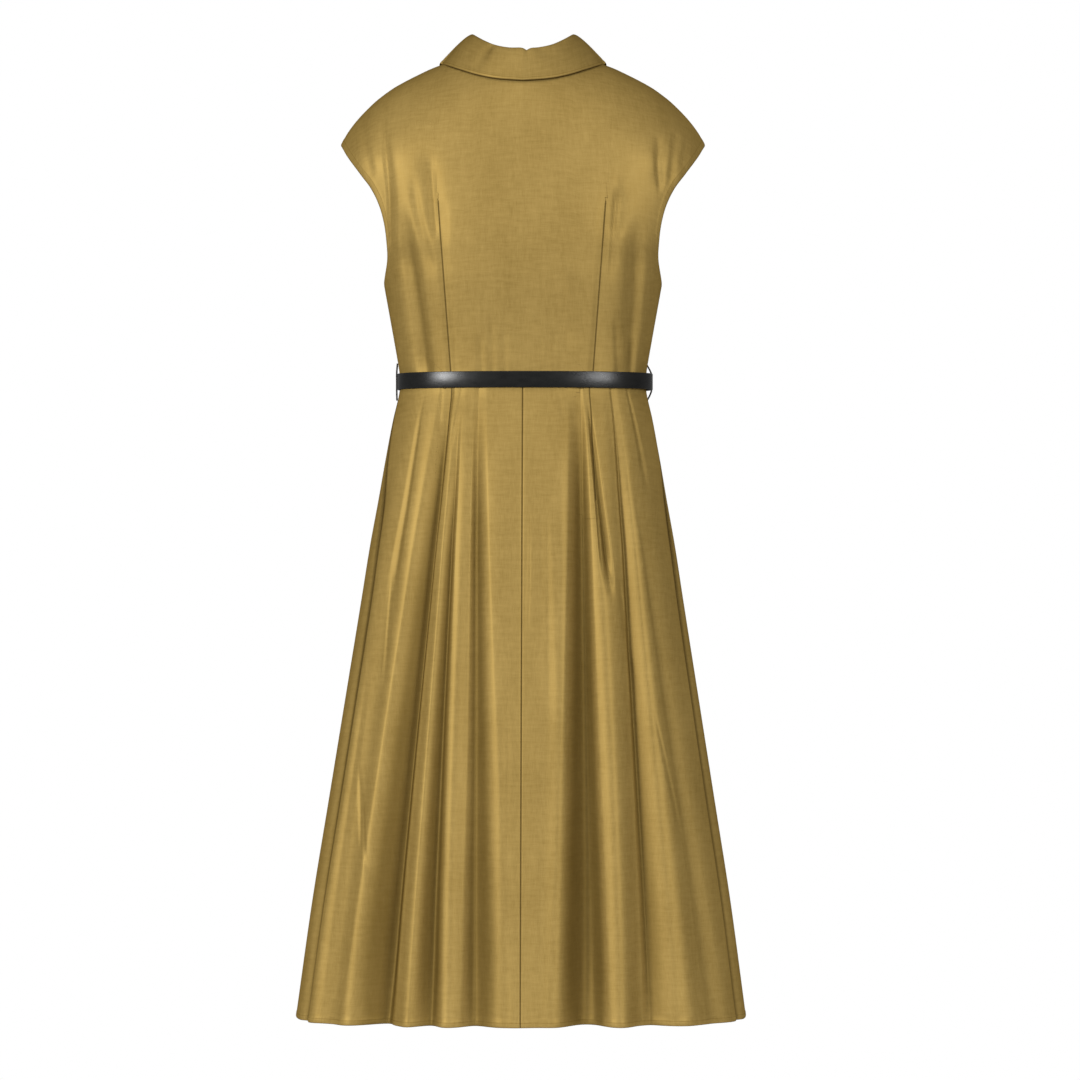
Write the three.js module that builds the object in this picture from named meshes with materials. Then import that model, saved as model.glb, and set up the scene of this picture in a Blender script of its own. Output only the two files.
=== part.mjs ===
// A shirt dress, filled out as it is worn, with nobody in it.
// Millimetres, +Z up, +Y to the wearer's front, +X to the wearer's right.
// The origin is the middle of the neck's base, level with the shoulder seams at the neck.
import * as THREE from 'three';

// Driving dimensions
const CLOTH = 1.5;
const GAP = 0.3;
const HALF_GAP = GAP / 2;
const WAIST_Z = -395;
const HEM_Z = -1187;
const HEM_LIFT = 4.5; // the hem rises this much towards the centre back
const HEM_SWAY = -2.5; // the skirt hangs this much to the wearer's left at its hem
const NECK_HALF_WIDTH = 72;
const CAP_TIP_X = 228;
const SHOULDER_ROUND = 110; // drop below the shoulder line at which the body is at full depth
const COLLAR_X = 104; // where the collar's edge meets the shoulder
const NECK_SLOPE = 0.32;
const RING_SQUARENESS = 2.25; // of the waist, the skirt and the belt; 2 is an ellipse
const STAND_HEIGHT = 29;
const STAND_EXTRA = 2; // more at the back and the front, less at the sides
const COLLAR_CLOTH = 2;
const PLACKET_HALF_WIDTH = 15;
const BUTTON_RADIUS = 6;
const BUTTON_THICK = 2.6;
const BELT_HEIGHT = 20;
const BELT_THICK = 1.8;
const BELT = { half: 157.8, back: 81.6, front: 89.5 }; // the strap's inner face
const BELT_SHIFT = 2.6; // the belt hangs a little to the wearer's right
const BUCKLE_WIRE = 2.4;
const BUCKLE_HALF_WIDTH = 15; // from the middle to the centre of each upright bar
const PRONG_THICK = 1.5;
const PRONG_HEIGHT = 3;
const KEEPER_X = 42;
const KEEPER_WIDTH = 8;
const KEEPER_THICK = 1;
const LOOP_WIRE = 1.6;
const LOOP_REACH = 23; // each end of a belt loop is this far above or below the waist
const LOOP_STRAIGHT = 11; // and it lies straight over the strap this far from the waist
const LOOP_EASE = 0.35;
const EASE = 0.1; // a little more than the gap, where flat facets bridge a curve
const STAND_LEAN = { back: 0.14, side: 0.2 }; // inwards for each unit up, and how much more at the sides
const FALL_EASE = 0.2;
const ROLL = { out: 7, up: 4 }; // how far the collar's roll swings past the stand's top
const STRAP_FOLD_END = 9; // the folded end of the strap lies this far past the buckle's bar
const STRAP_DIP = { under: 2.5, onto: -6, over: 3, down: 10 }; // from the bars, where it changes level
const STRAP_END = [34, 50, 66, 82, 98]; // the free end's run across the front
const STRAP_STEP = 6; // degrees
const PRONG_EASE = 0.2;
const PRONG_TAIL = 1.2; // past the far bar
const BUCKLE_CORNER = 3.4;
const BUCKLE_CLEAR = 0.6; // above and below the strap
const KEEPER_CLEAR = 0.5;
const KEEPER_CORNER = 1.2;

const CLOTH_LOOK = { color: 0xa48b50, roughness: 0.42, metalness: 0 };
const LEATHER_LOOK = { color: 0x17171a, roughness: 0.38, metalness: 0 };
const METAL_LOOK = { color: 0xc9a85c, roughness: 0.25, metalness: 1 };
const THREAD_LOOK = { color: 0x2e2a1c, roughness: 0.8, metalness: 0 };
const BUTTON_LOOK = { color: 0x6f5c31, roughness: 0.3, metalness: 0 };

const table = (columns, rows) =>
  rows.map((row) => Object.fromEntries(columns.split(' ').map((name, i) => [name, row[i]])));

// Body sections down the bodice: half width, depths behind and in front of the side seam,
// and how square the section is (2 is an ellipse).
const BODICE = table('z width back front square', [
  [40, 240, 78, 50, 2.6],
  [0, 240, 82, 53, 2.6],
  [-40, 240, 89, 57, 2.6],
  [-80, 239.5, 95, 66, 2.6],
  [-118, 235, 100, 80, 2.6],
  [-142, 224, 103, 90, 2.6],
  [-181, 209, 105, 106, 2.6],
  [-203, 201, 105, 113, 2.6],
  [-225, 191.5, 104, 118, 2.6],
  [-246, 179, 102, 120, 2.6],
  [-270, 174, 99, 119, 2.55],
  [-292, 170, 95, 114, 2.5],
  [-342, 161, 85, 98, 2.35],
  [-380, 154.5, 79.5, 86, 2.25],
  [-395, 153, 79, 84, 2.25],
]);

// The shoulder line seen from behind, from the neck to the tip of the cap sleeve.
const SHOULDER = table('x z', [
  [72, 10.24],
  [104, 0],
  [120, -6.5],
  [158, -26],
  [178, -40],
  [189, -49.5],
  [206, -67],
  [219, -84],
  [228, -100],
]);

const NECK_BACK = table('x z', [[0, -20], [19, -19], [38, -13.5], [52, -6], [62, 1], [69, 7], [72, 10.24]]);
const NECK_FRONT = table('x z', [[0, -72], [24, -66], [43, -50], [57, -30], [66, -8], [71, 5], [72, 10.24]]);

// The armhole's edge from the cap's tip to the underarm.
const ARMHOLE = table('x z', [
  [228, -100],
  [217.8, -118],
  [200.7, -142],
  [187.5, -160],
  [177.3, -181],
  [171.3, -203],
  [168.6, -225],
  [168.1, -246],
  [172, -268],
  [173.4, -274],
]);
const FRONT_SCOOP = 8; // the front armhole is cut this much further in

// Soft folds and darts of the bodice's back: from one point to another, across and down.
// A dart is narrow and runs into the waist seam.
const BODICE_FOLDS = table('x1 z1 x2 z2 width depth', [
  [-104, -176, -87, -392, 5, 2],
  [102, -176, 86, -392, 5, 2],
  [-176, -70, -164, -226, 12, 3.5],
  [-116, -115, -107, -205, 12, 3.5],
  [-146, -205, -121, -375, 12, 5],
  [170, -95, 168, -150, 10, 2.5],
  [116, -165, 112, -212, 11, 2.5],
  [138, -212, 130, -340, 12, 3.5],
]);

const BUST_DARTS = table('x1 z1 x2 z2 width depth', [
  [-78, -262, -70, -392, 5, 2],
  [78, -262, 70, -392, 5, 2],
  [-118, -215, -104, -372, 13, 3.5],
  [122, -205, 101, -376, 12, 3.5],
  [-30, -300, -28, -385, 12, 2],
  [36, -290, 33, -385, 13, 2],
]);

const SKIRT = table('z half back front', [
  [-395, 153, 79, 84],
  [-412, 155, 81.4, 86],
  [-442, 162, 91, 91],
  [-490, 171, 103, 97],
  [-542, 180, 111, 102],
  [-600, 190.5, 117, 107],
  [-667, 201, 122, 112],
  [-792, 221, 130, 121],
  [-917, 241, 137, 130],
  [-1042, 261, 143, 138],
  [-1187, 281, 149, 146],
]);

// The side seams' place round the skirt, in degrees from the centre back.
const SIDE_SEAM = table('z left right', [
  [-395, 89, 90],
  [-475, 80, 88],
  [-540, 72, 79],
  [-620, 68, 75],
  [-760, 67, 73],
  [-1187, 69, 73],
]);

// Flutes of the skirt, in degrees from the centre back, left is minus: at hip height and at the hem,
// the height where the flute starts, its half width in degrees and its depth at the hem.
// A minus depth is a valley.
const FLUTES = table('hip hem start width depth', [
  [-50, -53, -400, 5, -3],
  [-33.5, -35, -405, 6, -18],
  [-24, -21, -470, 3.5, -9],
  [-17.5, -10, -400, 4, -11],
  [4, 5, -470, 4, -2],
  [21, 14.5, -400, 5, -20],
  [39.5, 31, -400, 4.5, -13],
  [50, 57, -520, 6, -3],
  [-27.5, -27, -430, 3, 5],
  [-20.5, -15.5, -430, 3.5, 5],
  [-44.5, -46, -430, 6, 6],
  [-7, -3, -450, 5, 4],
  [13, 7, -430, 3, 5],
  [27, 22.5, -430, 4, 8],
  [46, 44, -430, 5, 5],
  [-63, -64, -470, 5, 4],
  [-69.5, -71, -500, 3, -5],
  [75, 74.5, -520, 3, -5],
  [-102, -104, -430, 6, -9],
  [-118, -121, -420, 5, 7],
  [-132, -136, -405, 5.5, -11],
  [-146, -149, -430, 5, 6],
  [-159, -162, -405, 4.5, -7],
  [104, 103, -440, 6, -8],
  [117, 119, -420, 5.5, 7],
  [133, 133, -405, 5, -12],
  [147, 148, -430, 4.5, 6],
  [160, 163, -405, 4, -6],
]);
const HIP_Z = -567;

const COLLAR_EDGE = table('turn x z clear', [
  [0, 0, -28.5, 8],
  [20, 31, -25.5, 8],
  [40, 56, -19.5, 6],
  [58, 78, -11, 6],
  [75, 95, -2.5, 8],
  [90, 104.5, 4.6, 0],
  [105, 103, -7, 8],
  [120, 94, -32, 6],
  [135, 82, -57, 4],
  [150, 70, -79, 4],
  [163, 61, -95, 4],
  [176, 55, -104, 4],
]);

const BUTTON_HEIGHTS = [-98, -170, -242, -314, -480, -580, -680, -780, -880];

// A smooth curve through a table's rows: Hermite pieces whose slopes are those of the neighbours.
function along(rows, key, value, at) {
  const up = rows[1][key] > rows[0][key] ? 1 : -1;
  const place = (i) => rows[i][key] * up;
  const t = THREE.MathUtils.clamp(at * up, place(0), place(rows.length - 1));
  let i = 0;
  while (i < rows.length - 2 && t > place(i + 1)) i += 1;
  const slope = (j) => {
    const a = Math.max(j - 1, 0);
    const b = Math.min(j + 1, rows.length - 1);
    return (rows[b][value] - rows[a][value]) / (place(b) - place(a));
  };
  const span = place(i + 1) - place(i);
  const f = (t - place(i)) / span;
  const g = 1 - f;
  const start = rows[i][value] * (1 + 2 * f) * g * g + slope(i) * span * f * g * g;
  const end = rows[i + 1][value] * f * f * (3 - 2 * f) - slope(i + 1) * span * f * f * g;
  return start + end;
}

const lerp = THREE.MathUtils.lerp;
const smooth = THREE.MathUtils.smoothstep;

// The shoulder line goes on upwards past the neck's side, as a plain slope.
const shoulderZ = (x) =>
  Math.abs(x) < COLLAR_X ? (COLLAR_X - Math.abs(x)) * NECK_SLOPE : along(SHOULDER, 'x', 'z', Math.abs(x));

// How deep the folds are at a place: a soft trough across each fold's centreline, faded at its ends
function foldDepth(folds, x, z) {
  let total = 0;
  for (const f of folds) {
    const t = (z - f.z1) / (f.z2 - f.z1);
    const across = (x - lerp(f.x1, f.x2, t)) / f.width;
    const fade = smooth(t, -0.15, 0.35) * (1 - smooth(t, 0.9, 1.25));
    total += f.depth * fade * Math.exp(-across * across);
  }
  return total;
}

// How far the bodice stands behind (side 'back') or before the seams' plane at x and z:
// a squarish oval in each level section, rounded over the shoulder line at the top.
function bodiceDepth(side, x, z) {
  const square = along(BODICE, 'z', 'square', z);
  const s = Math.min(Math.abs(x) / along(BODICE, 'z', 'width', z), 1);
  const t = THREE.MathUtils.clamp((shoulderZ(x) - z) / SHOULDER_ROUND, 0, 1);
  const round = Math.sqrt(1 - (1 - t) ** 2);
  return along(BODICE, 'z', side, z) * Math.pow(1 - Math.pow(s, square), 1 / square) * round;
}

// The outward direction of the bodice, from the slope of the closed form
// (x / width)^n + (y / depth)^n = 1, where depth holds the shoulder's rounding.
function bodiceNormal(side, x, y, z) {
  const form = (px, py, pz) => {
    const square = along(BODICE, 'z', 'square', pz);
    const t = THREE.MathUtils.clamp((shoulderZ(px) - pz) / SHOULDER_ROUND, 1e-6, 1);
    const deep = along(BODICE, 'z', side, pz) * Math.sqrt(1 - (1 - t) ** 2);
    const wide = along(BODICE, 'z', 'width', pz);
    return Math.pow(Math.abs(px) / wide, square) + Math.pow(Math.abs(py) / deep, square);
  };
  const e = 0.01;
  return new THREE.Vector3(
    form(x + e, y, z) - form(x - e, y, z),
    form(x, y + e, z) - form(x, y - e, z),
    form(x, y, z + e) - form(x, y, z - e),
  ).normalize();
}

// A point's place on the armhole's edge and then the side seam, by the share of the way down it.
const UNDERARM = ARMHOLE[ARMHOLE.length - 1];
const ARMHOLE_ROWS = 11;
const BODICE_ROWS = 18;

function sideEdge(row, scoop) {
  if (row <= ARMHOLE_ROWS) {
    const down = Math.pow(row / ARMHOLE_ROWS, 1.35);
    const z = lerp(ARMHOLE[0].z, UNDERARM.z, down);
    return [along(ARMHOLE, 'z', 'x', z) - scoop * Math.sin(Math.PI * down), z];
  }
  const down = (row - ARMHOLE_ROWS) / (BODICE_ROWS - ARMHOLE_ROWS);
  const z = lerp(UNDERARM.z, WAIST_Z + HALF_GAP, down);
  return [along(BODICE, 'z', 'width', z), z];
}

const BODICE_COLUMNS = 13;
const NECK_COLUMNS = 6;

// The neckline and then the shoulder seam, from the centre to the cap's tip.
function topEdge(column, neck) {
  if (column <= NECK_COLUMNS) {
    const x = NECK_HALF_WIDTH * Math.sin((Math.PI / 2) * (column / NECK_COLUMNS));
    return [x, along(neck, 'x', 'z', x)];
  }
  const r = (column - NECK_COLUMNS) / (BODICE_COLUMNS - NECK_COLUMNS);
  const x = lerp(NECK_HALF_WIDTH, CAP_TIP_X, Math.sin((Math.PI / 2) * r));
  return [x, shoulderZ(x)];
}

// One half of the bodice's back or front, as rows of points with their outward directions:
// the surface between its four edges, seen from behind, and then its depth.
function bodicePoint(side, hand, column, row) {
  const neck = side === 'back' ? NECK_BACK : NECK_FRONT;
  const scoop = side === 'back' ? 0 : FRONT_SCOOP;
  const sign = side === 'back' ? -1 : 1;
  const u = Math.sin((Math.PI / 2) * (column / BODICE_COLUMNS));
  const [edgeX, edgeZ] = sideEdge(row, scoop);
  const top = topEdge(column, neck);
  const tip = topEdge(BODICE_COLUMNS, neck);
  const waistX = BODICE[BODICE.length - 1].width;
  const down = (tip[1] - edgeZ) / (tip[1] - WAIST_Z - HALF_GAP);
  const foot = WAIST_Z + HALF_GAP;
  const centreZ = lerp(neck[0].z, foot, down);
  const x = (1 - down) * top[0] + down * u * waistX + u * edgeX - u * ((1 - down) * tip[0] + down * waistX);
  const z =
    (1 - down) * top[1] + down * foot + (1 - u) * centreZ + u * edgeZ -
    (1 - u) * ((1 - down) * neck[0].z + down * foot) - u * ((1 - down) * tip[1] + down * foot);
  const depth = Math.max(bodiceDepth(side, x, z), HALF_GAP);
  const normal = bodiceNormal(side, x * hand, sign * depth, z);
  if (depth === HALF_GAP) normal.setY(0).normalize(); // on a seam, so that back and front meet squarely
  const folds = side === 'back' ? BODICE_FOLDS : BUST_DARTS;
  const inward = foldDepth(folds, x * hand, z) * smooth(depth, 2, 30);
  return { point: new THREE.Vector3(x * hand, sign * (depth - inward), z), normal };
}

// A closed wall: a grid of outer points, the same grid moved in by the thickness, and the rim.
function wall(grid, thickness) {
  const rows = grid.length;
  const columns = grid[0].length;
  const positions = [];
  for (const line of grid) for (const g of line) positions.push(...g.point.toArray());
  for (const line of grid) {
    for (const g of line) positions.push(...g.point.clone().addScaledVector(g.normal, -thickness).toArray());
  }
  const index = [];
  const quad = (a, b, c, d) => index.push(a, b, c, a, c, d);
  const outer = (i, j) => i * columns + j;
  const inner = (i, j) => rows * columns + outer(i, j);
  for (let i = 0; i < rows - 1; i += 1) {
    for (let j = 0; j < columns - 1; j += 1) {
      quad(outer(i, j), outer(i + 1, j), outer(i + 1, j + 1), outer(i, j + 1));
      quad(inner(i, j), inner(i, j + 1), inner(i + 1, j + 1), inner(i + 1, j));
    }
    quad(outer(i, 0), inner(i, 0), inner(i + 1, 0), outer(i + 1, 0));
    quad(outer(i, columns - 1), outer(i + 1, columns - 1), inner(i + 1, columns - 1), inner(i, columns - 1));
  }
  for (let j = 0; j < columns - 1; j += 1) {
    quad(outer(0, j), outer(0, j + 1), inner(0, j + 1), inner(0, j));
    quad(outer(rows - 1, j), inner(rows - 1, j), inner(rows - 1, j + 1), outer(rows - 1, j + 1));
  }
  return closed(positions, index);
}

// Faces are turned outwards, whichever way round the grid runs.
function closed(positions, index) {
  const corner = (k) => new THREE.Vector3().fromArray(positions, 3 * index[k]);
  let volume = 0;
  for (let k = 0; k < index.length; k += 3) volume += corner(k).dot(corner(k + 1).cross(corner(k + 2)));
  const turned = volume < 0 ? index.slice().reverse() : index;
  const geometry = new THREE.BufferGeometry();
  geometry.setAttribute('position', new THREE.Float32BufferAttribute(positions, 3));
  geometry.setIndex(turned);
  geometry.computeVertexNormals();
  return geometry;
}

const dress = new THREE.Group();

function add(name, geometry, look) {
  const mesh = new THREE.Mesh(geometry, new THREE.MeshStandardMaterial(look));
  mesh.name = name;
  dress.add(mesh);
  return mesh;
}

const steps = (count) => Array.from({ length: count + 1 }, (_, i) => i);

// Bodice: one back, and two fronts that meet at the centre under the button band
function bodice() {
  const back = steps(BODICE_ROWS).map((row) =>
    steps(2 * BODICE_COLUMNS).map((k) => {
      const column = k - BODICE_COLUMNS;
      return bodicePoint('back', column < 0 ? -1 : 1, Math.abs(column), row);
    }),
  );
  add('back_bodice', wall(back, CLOTH), CLOTH_LOOK);
  for (const [name, hand] of [['left', -1], ['right', 1]]) {
    const front = steps(BODICE_ROWS).map((row) =>
      steps(BODICE_COLUMNS).map((column) => {
        const g = bodicePoint('front', hand, column, row);
        if (column === 0) g.point.x = hand * HALF_GAP;
        return g;
      }),
    );
    add(`front_bodice_${name}`, wall(front, CLOTH), CLOTH_LOOK);
  }
}

// The skirt's flutes at a turn from the centre back and a height: soft bumps that deepen downwards.
function fluteHeight(turn, z) {
  let total = 0;
  for (const f of FLUTES) {
    const centre = lerp(f.hip, f.hem, (z - HIP_Z) / (HEM_Z - HIP_Z));
    const across = (turn - centre) / f.width;
    const grown = Math.pow(THREE.MathUtils.clamp((f.start - z) / (f.start - HEM_Z), 0, 1), 0.7);
    total += f.depth * grown * Math.exp(-across * across);
  }
  return total;
}

// A level ring, a squarish oval that may be deeper behind or before, at a turn from the centre back
function ringPoint(size, turn, z) {
  const angle = THREE.MathUtils.degToRad(turn);
  const power = 2 / RING_SQUARENESS;
  const deep = Math.cos(angle) > 0 ? size.back : size.front;
  const x = size.half * Math.sign(Math.sin(angle)) * Math.pow(Math.abs(Math.sin(angle)), power);
  const y = -deep * Math.sign(Math.cos(angle)) * Math.pow(Math.abs(Math.cos(angle)), power);
  const normal = new THREE.Vector3(x / size.half ** 2, y / deep ** 2, 0).normalize();
  return { point: new THREE.Vector3(x, y, z), normal };
}

const skirtSize = (z) => ({
  half: along(SKIRT, 'z', 'half', z),
  back: along(SKIRT, 'z', 'back', z),
  front: along(SKIRT, 'z', 'front', z),
});

function skirtPoint(turn, z) {
  const ring = ringPoint(skirtSize(z), turn, z);
  ring.point.x += (HEM_SWAY * (WAIST_Z - z)) / (WAIST_Z - HEM_Z);
  return ring.point.addScaledVector(ring.normal, fluteHeight(turn, z));
}

function skirtNormal(turn, z) {
  const e = 0.4;
  const round = skirtPoint(turn + e, z).sub(skirtPoint(turn - e, z));
  const down = skirtPoint(turn, z - 1).sub(skirtPoint(turn, z + 1));
  return down.cross(round).normalize();
}

const SKIRT_ROWS = 12;
const BACK_COLUMNS = 24;
const FRONT_COLUMNS = 20;

const seamTurn = (hand, z) => hand * along(SIDE_SEAM, 'z', hand < 0 ? 'left' : 'right', z);

// A skirt panel between two turns, its two long edges drawn in by half the seam's gap.
function skirtPanel(from, to, columns) {
  return steps(SKIRT_ROWS).map((row) => {
    const share = Math.pow(row / SKIRT_ROWS, 1.35);
    const level = lerp(WAIST_Z - HALF_GAP, HEM_Z, share);
    const line = steps(columns).map((k) => {
      const turn = lerp(from(level), to(level), k / columns);
      const lift = HEM_LIFT * Math.max(Math.cos(THREE.MathUtils.degToRad(turn)), 0) ** 2;
      const z = level + lift * share;
      return { point: skirtPoint(turn, z), normal: skirtNormal(turn, z) };
    });
    for (const [edge, next] of [[line[0], line[1]], [line[columns], line[columns - 1]]]) {
      const inwards = next.point.clone().sub(edge.point).normalize();
      edge.point.addScaledVector(inwards, HALF_GAP);
    }
    return line;
  });
}

function skirt() {
  for (const [name, hand] of [['left', -1], ['right', 1]]) {
    const side = (z) => seamTurn(hand, z);
    add(`skirt_back_${name}`, wall(skirtPanel(() => 0, side, BACK_COLUMNS), CLOTH), CLOTH_LOOK);
    add(`skirt_front_${name}`, wall(skirtPanel(side, () => hand * 180, FRONT_COLUMNS), CLOTH), CLOTH_LOOK);
  }
}

// The front surface near the centre, above and below the waist, moved out by a distance
function frontPoint(x, z, out) {
  if (z > WAIST_Z) {
    const depth = bodiceDepth('front', x, z) - foldDepth(BUST_DARTS, x, z);
    const normal = bodiceNormal('front', x, depth, z);
    return { point: new THREE.Vector3(x, depth, z).addScaledVector(normal, out), normal };
  }
  const half = along(SKIRT, 'z', 'half', z);
  const lean = Math.asin(Math.pow(Math.abs(x) / half, RING_SQUARENESS / 2));
  const turn = 180 - THREE.MathUtils.radToDeg(lean);
  const point = skirtPoint(x < 0 ? -turn : turn, z);
  const normal = new THREE.Vector3(0, 1, 0);
  return { point: point.addScaledVector(normal, out), normal };
}

// The button band lies on the two fronts, and the buttons lie on the band
const BAND_OUT = GAP + CLOTH + HALF_GAP;

function band(name, topZ, footZ, rows) {
  const grid = steps(rows).map((row) => {
    const z = lerp(topZ, footZ, row / rows);
    return steps(4).map((k) => frontPoint(lerp(-PLACKET_HALF_WIDTH, PLACKET_HALF_WIDTH, k / 4), z, BAND_OUT));
  });
  add(name, wall(grid, CLOTH), CLOTH_LOOK);
}

function buttons() {
  const profile = [
    [0, 0],
    [BUTTON_RADIUS * 0.8, 0],
    [BUTTON_RADIUS, 0.7],
    [BUTTON_RADIUS, 1.9],
    [BUTTON_RADIUS * 0.82, BUTTON_THICK],
    [BUTTON_RADIUS * 0.6, BUTTON_THICK - 0.6],
    [0, BUTTON_THICK - 0.6],
  ].map(([r, h]) => new THREE.Vector2(r, h));
  BUTTON_HEIGHTS.forEach((z, i) => {
    const seat = frontPoint(0, z, BAND_OUT + GAP + EASE);
    const slope = frontPoint(0, z + 5, 0).point.sub(frontPoint(0, z - 5, 0).point);
    const mesh = add(`button_${i + 1}`, new THREE.LatheGeometry(profile, 14), BUTTON_LOOK);
    mesh.position.copy(seat.point);
    mesh.rotation.x = -Math.atan2(slope.y, slope.z);
  });
}

// Collar: the neckline all round, by its turn from the centre back
function neckPoint(turn) {
  const angle = THREE.MathUtils.degToRad(turn);
  const x = NECK_HALF_WIDTH * Math.abs(Math.sin(angle));
  const side = Math.cos(angle) > 0 ? 'back' : 'front';
  const z = along(side === 'back' ? NECK_BACK : NECK_FRONT, 'x', 'z', x);
  const y = bodiceDepth(side, x, z) * (side === 'back' ? -1 : 1);
  return new THREE.Vector3(x * Math.sign(Math.sin(angle)), y, z);
}

const outwards = (turn) => {
  const angle = THREE.MathUtils.degToRad(turn);
  return new THREE.Vector3(Math.sin(angle), -Math.cos(angle), 0);
};

// The stand rises from the neckline and leans in, more at the sides.
function standPoint(turn, share, extra) {
  const angle = THREE.MathUtils.degToRad(turn);
  const height = STAND_HEIGHT + STAND_EXTRA * Math.cos(2 * angle);
  const lean = STAND_LEAN.back + STAND_LEAN.side * Math.sin(angle) ** 2;
  const up = new THREE.Vector3(0, 0, 1).addScaledVector(outwards(turn), -lean).normalize();
  return neckPoint(turn).addScaledVector(up, GAP + share * height).addScaledVector(outwards(turn), extra);
}

// The stand's right end laps over its left end by one step at the centre front.
const NECK_STEP = 90 / NECK_COLUMNS;
const LAP_OUT = COLLAR_CLOTH + GAP + 0.4;

function stand() {
  const grid = steps(3).map((row) =>
    steps(360 / NECK_STEP + 1).map((k) => {
      const turn = NECK_STEP * k - 180;
      const around = turn > 180 ? turn - 360 : turn;
      const extra = LAP_OUT * smooth(turn, 150, 178);
      return { point: standPoint(around, row / 3, extra), normal: outwards(around) };
    }),
  );
  add('collar_stand', wall(grid, COLLAR_CLOTH), CLOTH_LOOK);
}

// The fall rolls over the top of the stand and comes down to the collar's edge.
function fallPoint(turn, share) {
  const hand = turn < 0 ? -1 : 1;
  const round = Math.abs(turn);
  const side = round < 90 ? 'back' : 'front';
  const x = along(COLLAR_EDGE, 'turn', 'x', round);
  const z = along(COLLAR_EDGE, 'turn', 'z', round);
  const clear = along(COLLAR_EDGE, 'turn', 'clear', round);
  const out = side === 'back' ? -1 : 1;
  const edge = new THREE.Vector3(hand * x, out * (bodiceDepth(side, x, z) + clear), z);
  const overLap = LAP_OUT * smooth(round, 135, 165) - COLLAR_CLOTH / 2;
  const root = standPoint(turn, 1, overLap);
  const brim = standPoint(turn + 1, 1, overLap).sub(standPoint(turn - 1, 1, overLap)).normalize();
  const up = new THREE.Vector3(0, 0, 1).addScaledVector(brim, -brim.z).normalize();
  root.addScaledVector(up, COLLAR_CLOTH + GAP + FALL_EASE);
  const roll = root.clone().addScaledVector(outwards(turn), ROLL.out);
  roll.z += ROLL.up;
  const g = 1 - share;
  return root.multiplyScalar(g * g).addScaledVector(roll, 2 * g * share).addScaledVector(edge, share * share);
}

const FALL_END = 178; // the fall's two ends stand this far round from the centre back

function fall() {
  const step = NECK_STEP / 2;
  const rows = 5;
  const grid = steps(rows).map((row) =>
    steps(360 / step).map((k) => {
      const share = row / rows;
      const turn = THREE.MathUtils.clamp(step * k - 180, -FALL_END, FALL_END);
      const low = Math.max(share - 0.02, 0);
      const down = fallPoint(turn, low + 0.04).sub(fallPoint(turn, low));
      const before = Math.max(turn - 1, -FALL_END);
      const after = Math.min(turn + 1, FALL_END);
      const round = fallPoint(after, share).sub(fallPoint(before, share));
      return { point: fallPoint(turn, share), normal: down.cross(round).normalize() };
    }),
  );
  add('collar_fall', wall(grid, COLLAR_CLOTH), CLOTH_LOOK);
}

// Belt: a place on the strap's run, from the middle of the front and out from its inner face
function beltPlace(x, out) {
  const lean = Math.asin(Math.pow(Math.abs(x - BELT_SHIFT) / BELT.half, RING_SQUARENESS / 2));
  const turn = (180 - THREE.MathUtils.radToDeg(lean)) * (x < BELT_SHIFT ? -1 : 1);
  return beltRing(turn, out);
}

function beltRing(turn, out) {
  const ring = ringPoint(BELT, turn, WAIST_Z);
  ring.point.x += BELT_SHIFT;
  return ring.point.addScaledVector(ring.normal, out);
}

// An upright strip of leather or metal: a path seen from above, given its thickness and height
function strip(path, thickness, height) {
  const sides = [1, -1].map((side) =>
    path.map((p, i) => {
      const before = path[Math.max(i - 1, 0)];
      const after = path[Math.min(i + 1, path.length - 1)];
      const run = new THREE.Vector2(after.x - before.x, after.y - before.y).normalize();
      return new THREE.Vector2(p.x - side * run.y * (thickness / 2), p.y + side * run.x * (thickness / 2));
    }),
  );
  const outline = new THREE.Shape([...sides[0], ...sides[1].reverse()]);
  const geometry = new THREE.ExtrudeGeometry(outline, { depth: height, bevelEnabled: false });
  return geometry.translate(0, 0, WAIST_Z - height / 2);
}

// The strap starts folded round the buckle's bar, goes all round the waist, passes under the
// buckle's far bar, climbs over the fold and lies on itself through the keeper.
function strap() {
  const middle = BELT_THICK / 2;
  const lying = BELT_THICK + GAP + middle;
  const barOut = BELT_THICK + GAP + BUCKLE_WIRE / 2;
  const foldRadius = BUCKLE_WIRE * Math.SQRT1_2 + GAP + middle;
  const overFold = barOut + foldRadius + BELT_THICK + GAP;
  const path = [beltPlace(BUCKLE_HALF_WIDTH + STRAP_FOLD_END, lying + EASE)];
  for (const degrees of [60, 90, 120, 150, 180, 210, 240, 270]) {
    const angle = THREE.MathUtils.degToRad(degrees);
    path.push(
      beltPlace(BUCKLE_HALF_WIDTH + foldRadius * Math.cos(angle), barOut + foldRadius * Math.sin(angle)),
    );
  }
  for (let turn = 168; turn >= -168; turn -= STRAP_STEP) path.push(beltRing(turn, middle));
  path.push(beltPlace(-BUCKLE_HALF_WIDTH + STRAP_DIP.under, middle));
  path.push(beltPlace(BUCKLE_HALF_WIDTH + STRAP_DIP.onto, overFold));
  path.push(beltPlace(BUCKLE_HALF_WIDTH + STRAP_DIP.over, overFold));
  path.push(beltPlace(BUCKLE_HALF_WIDTH + STRAP_DIP.down, lying + BELT_THICK + 2 * GAP));
  for (const x of STRAP_END) path.push(beltPlace(x, lying + EASE));
  add('belt_strap', strip(path, BELT_THICK, BELT_HEIGHT), LEATHER_LOOK);
  return { barOut, overFold, lying };
}

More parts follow.
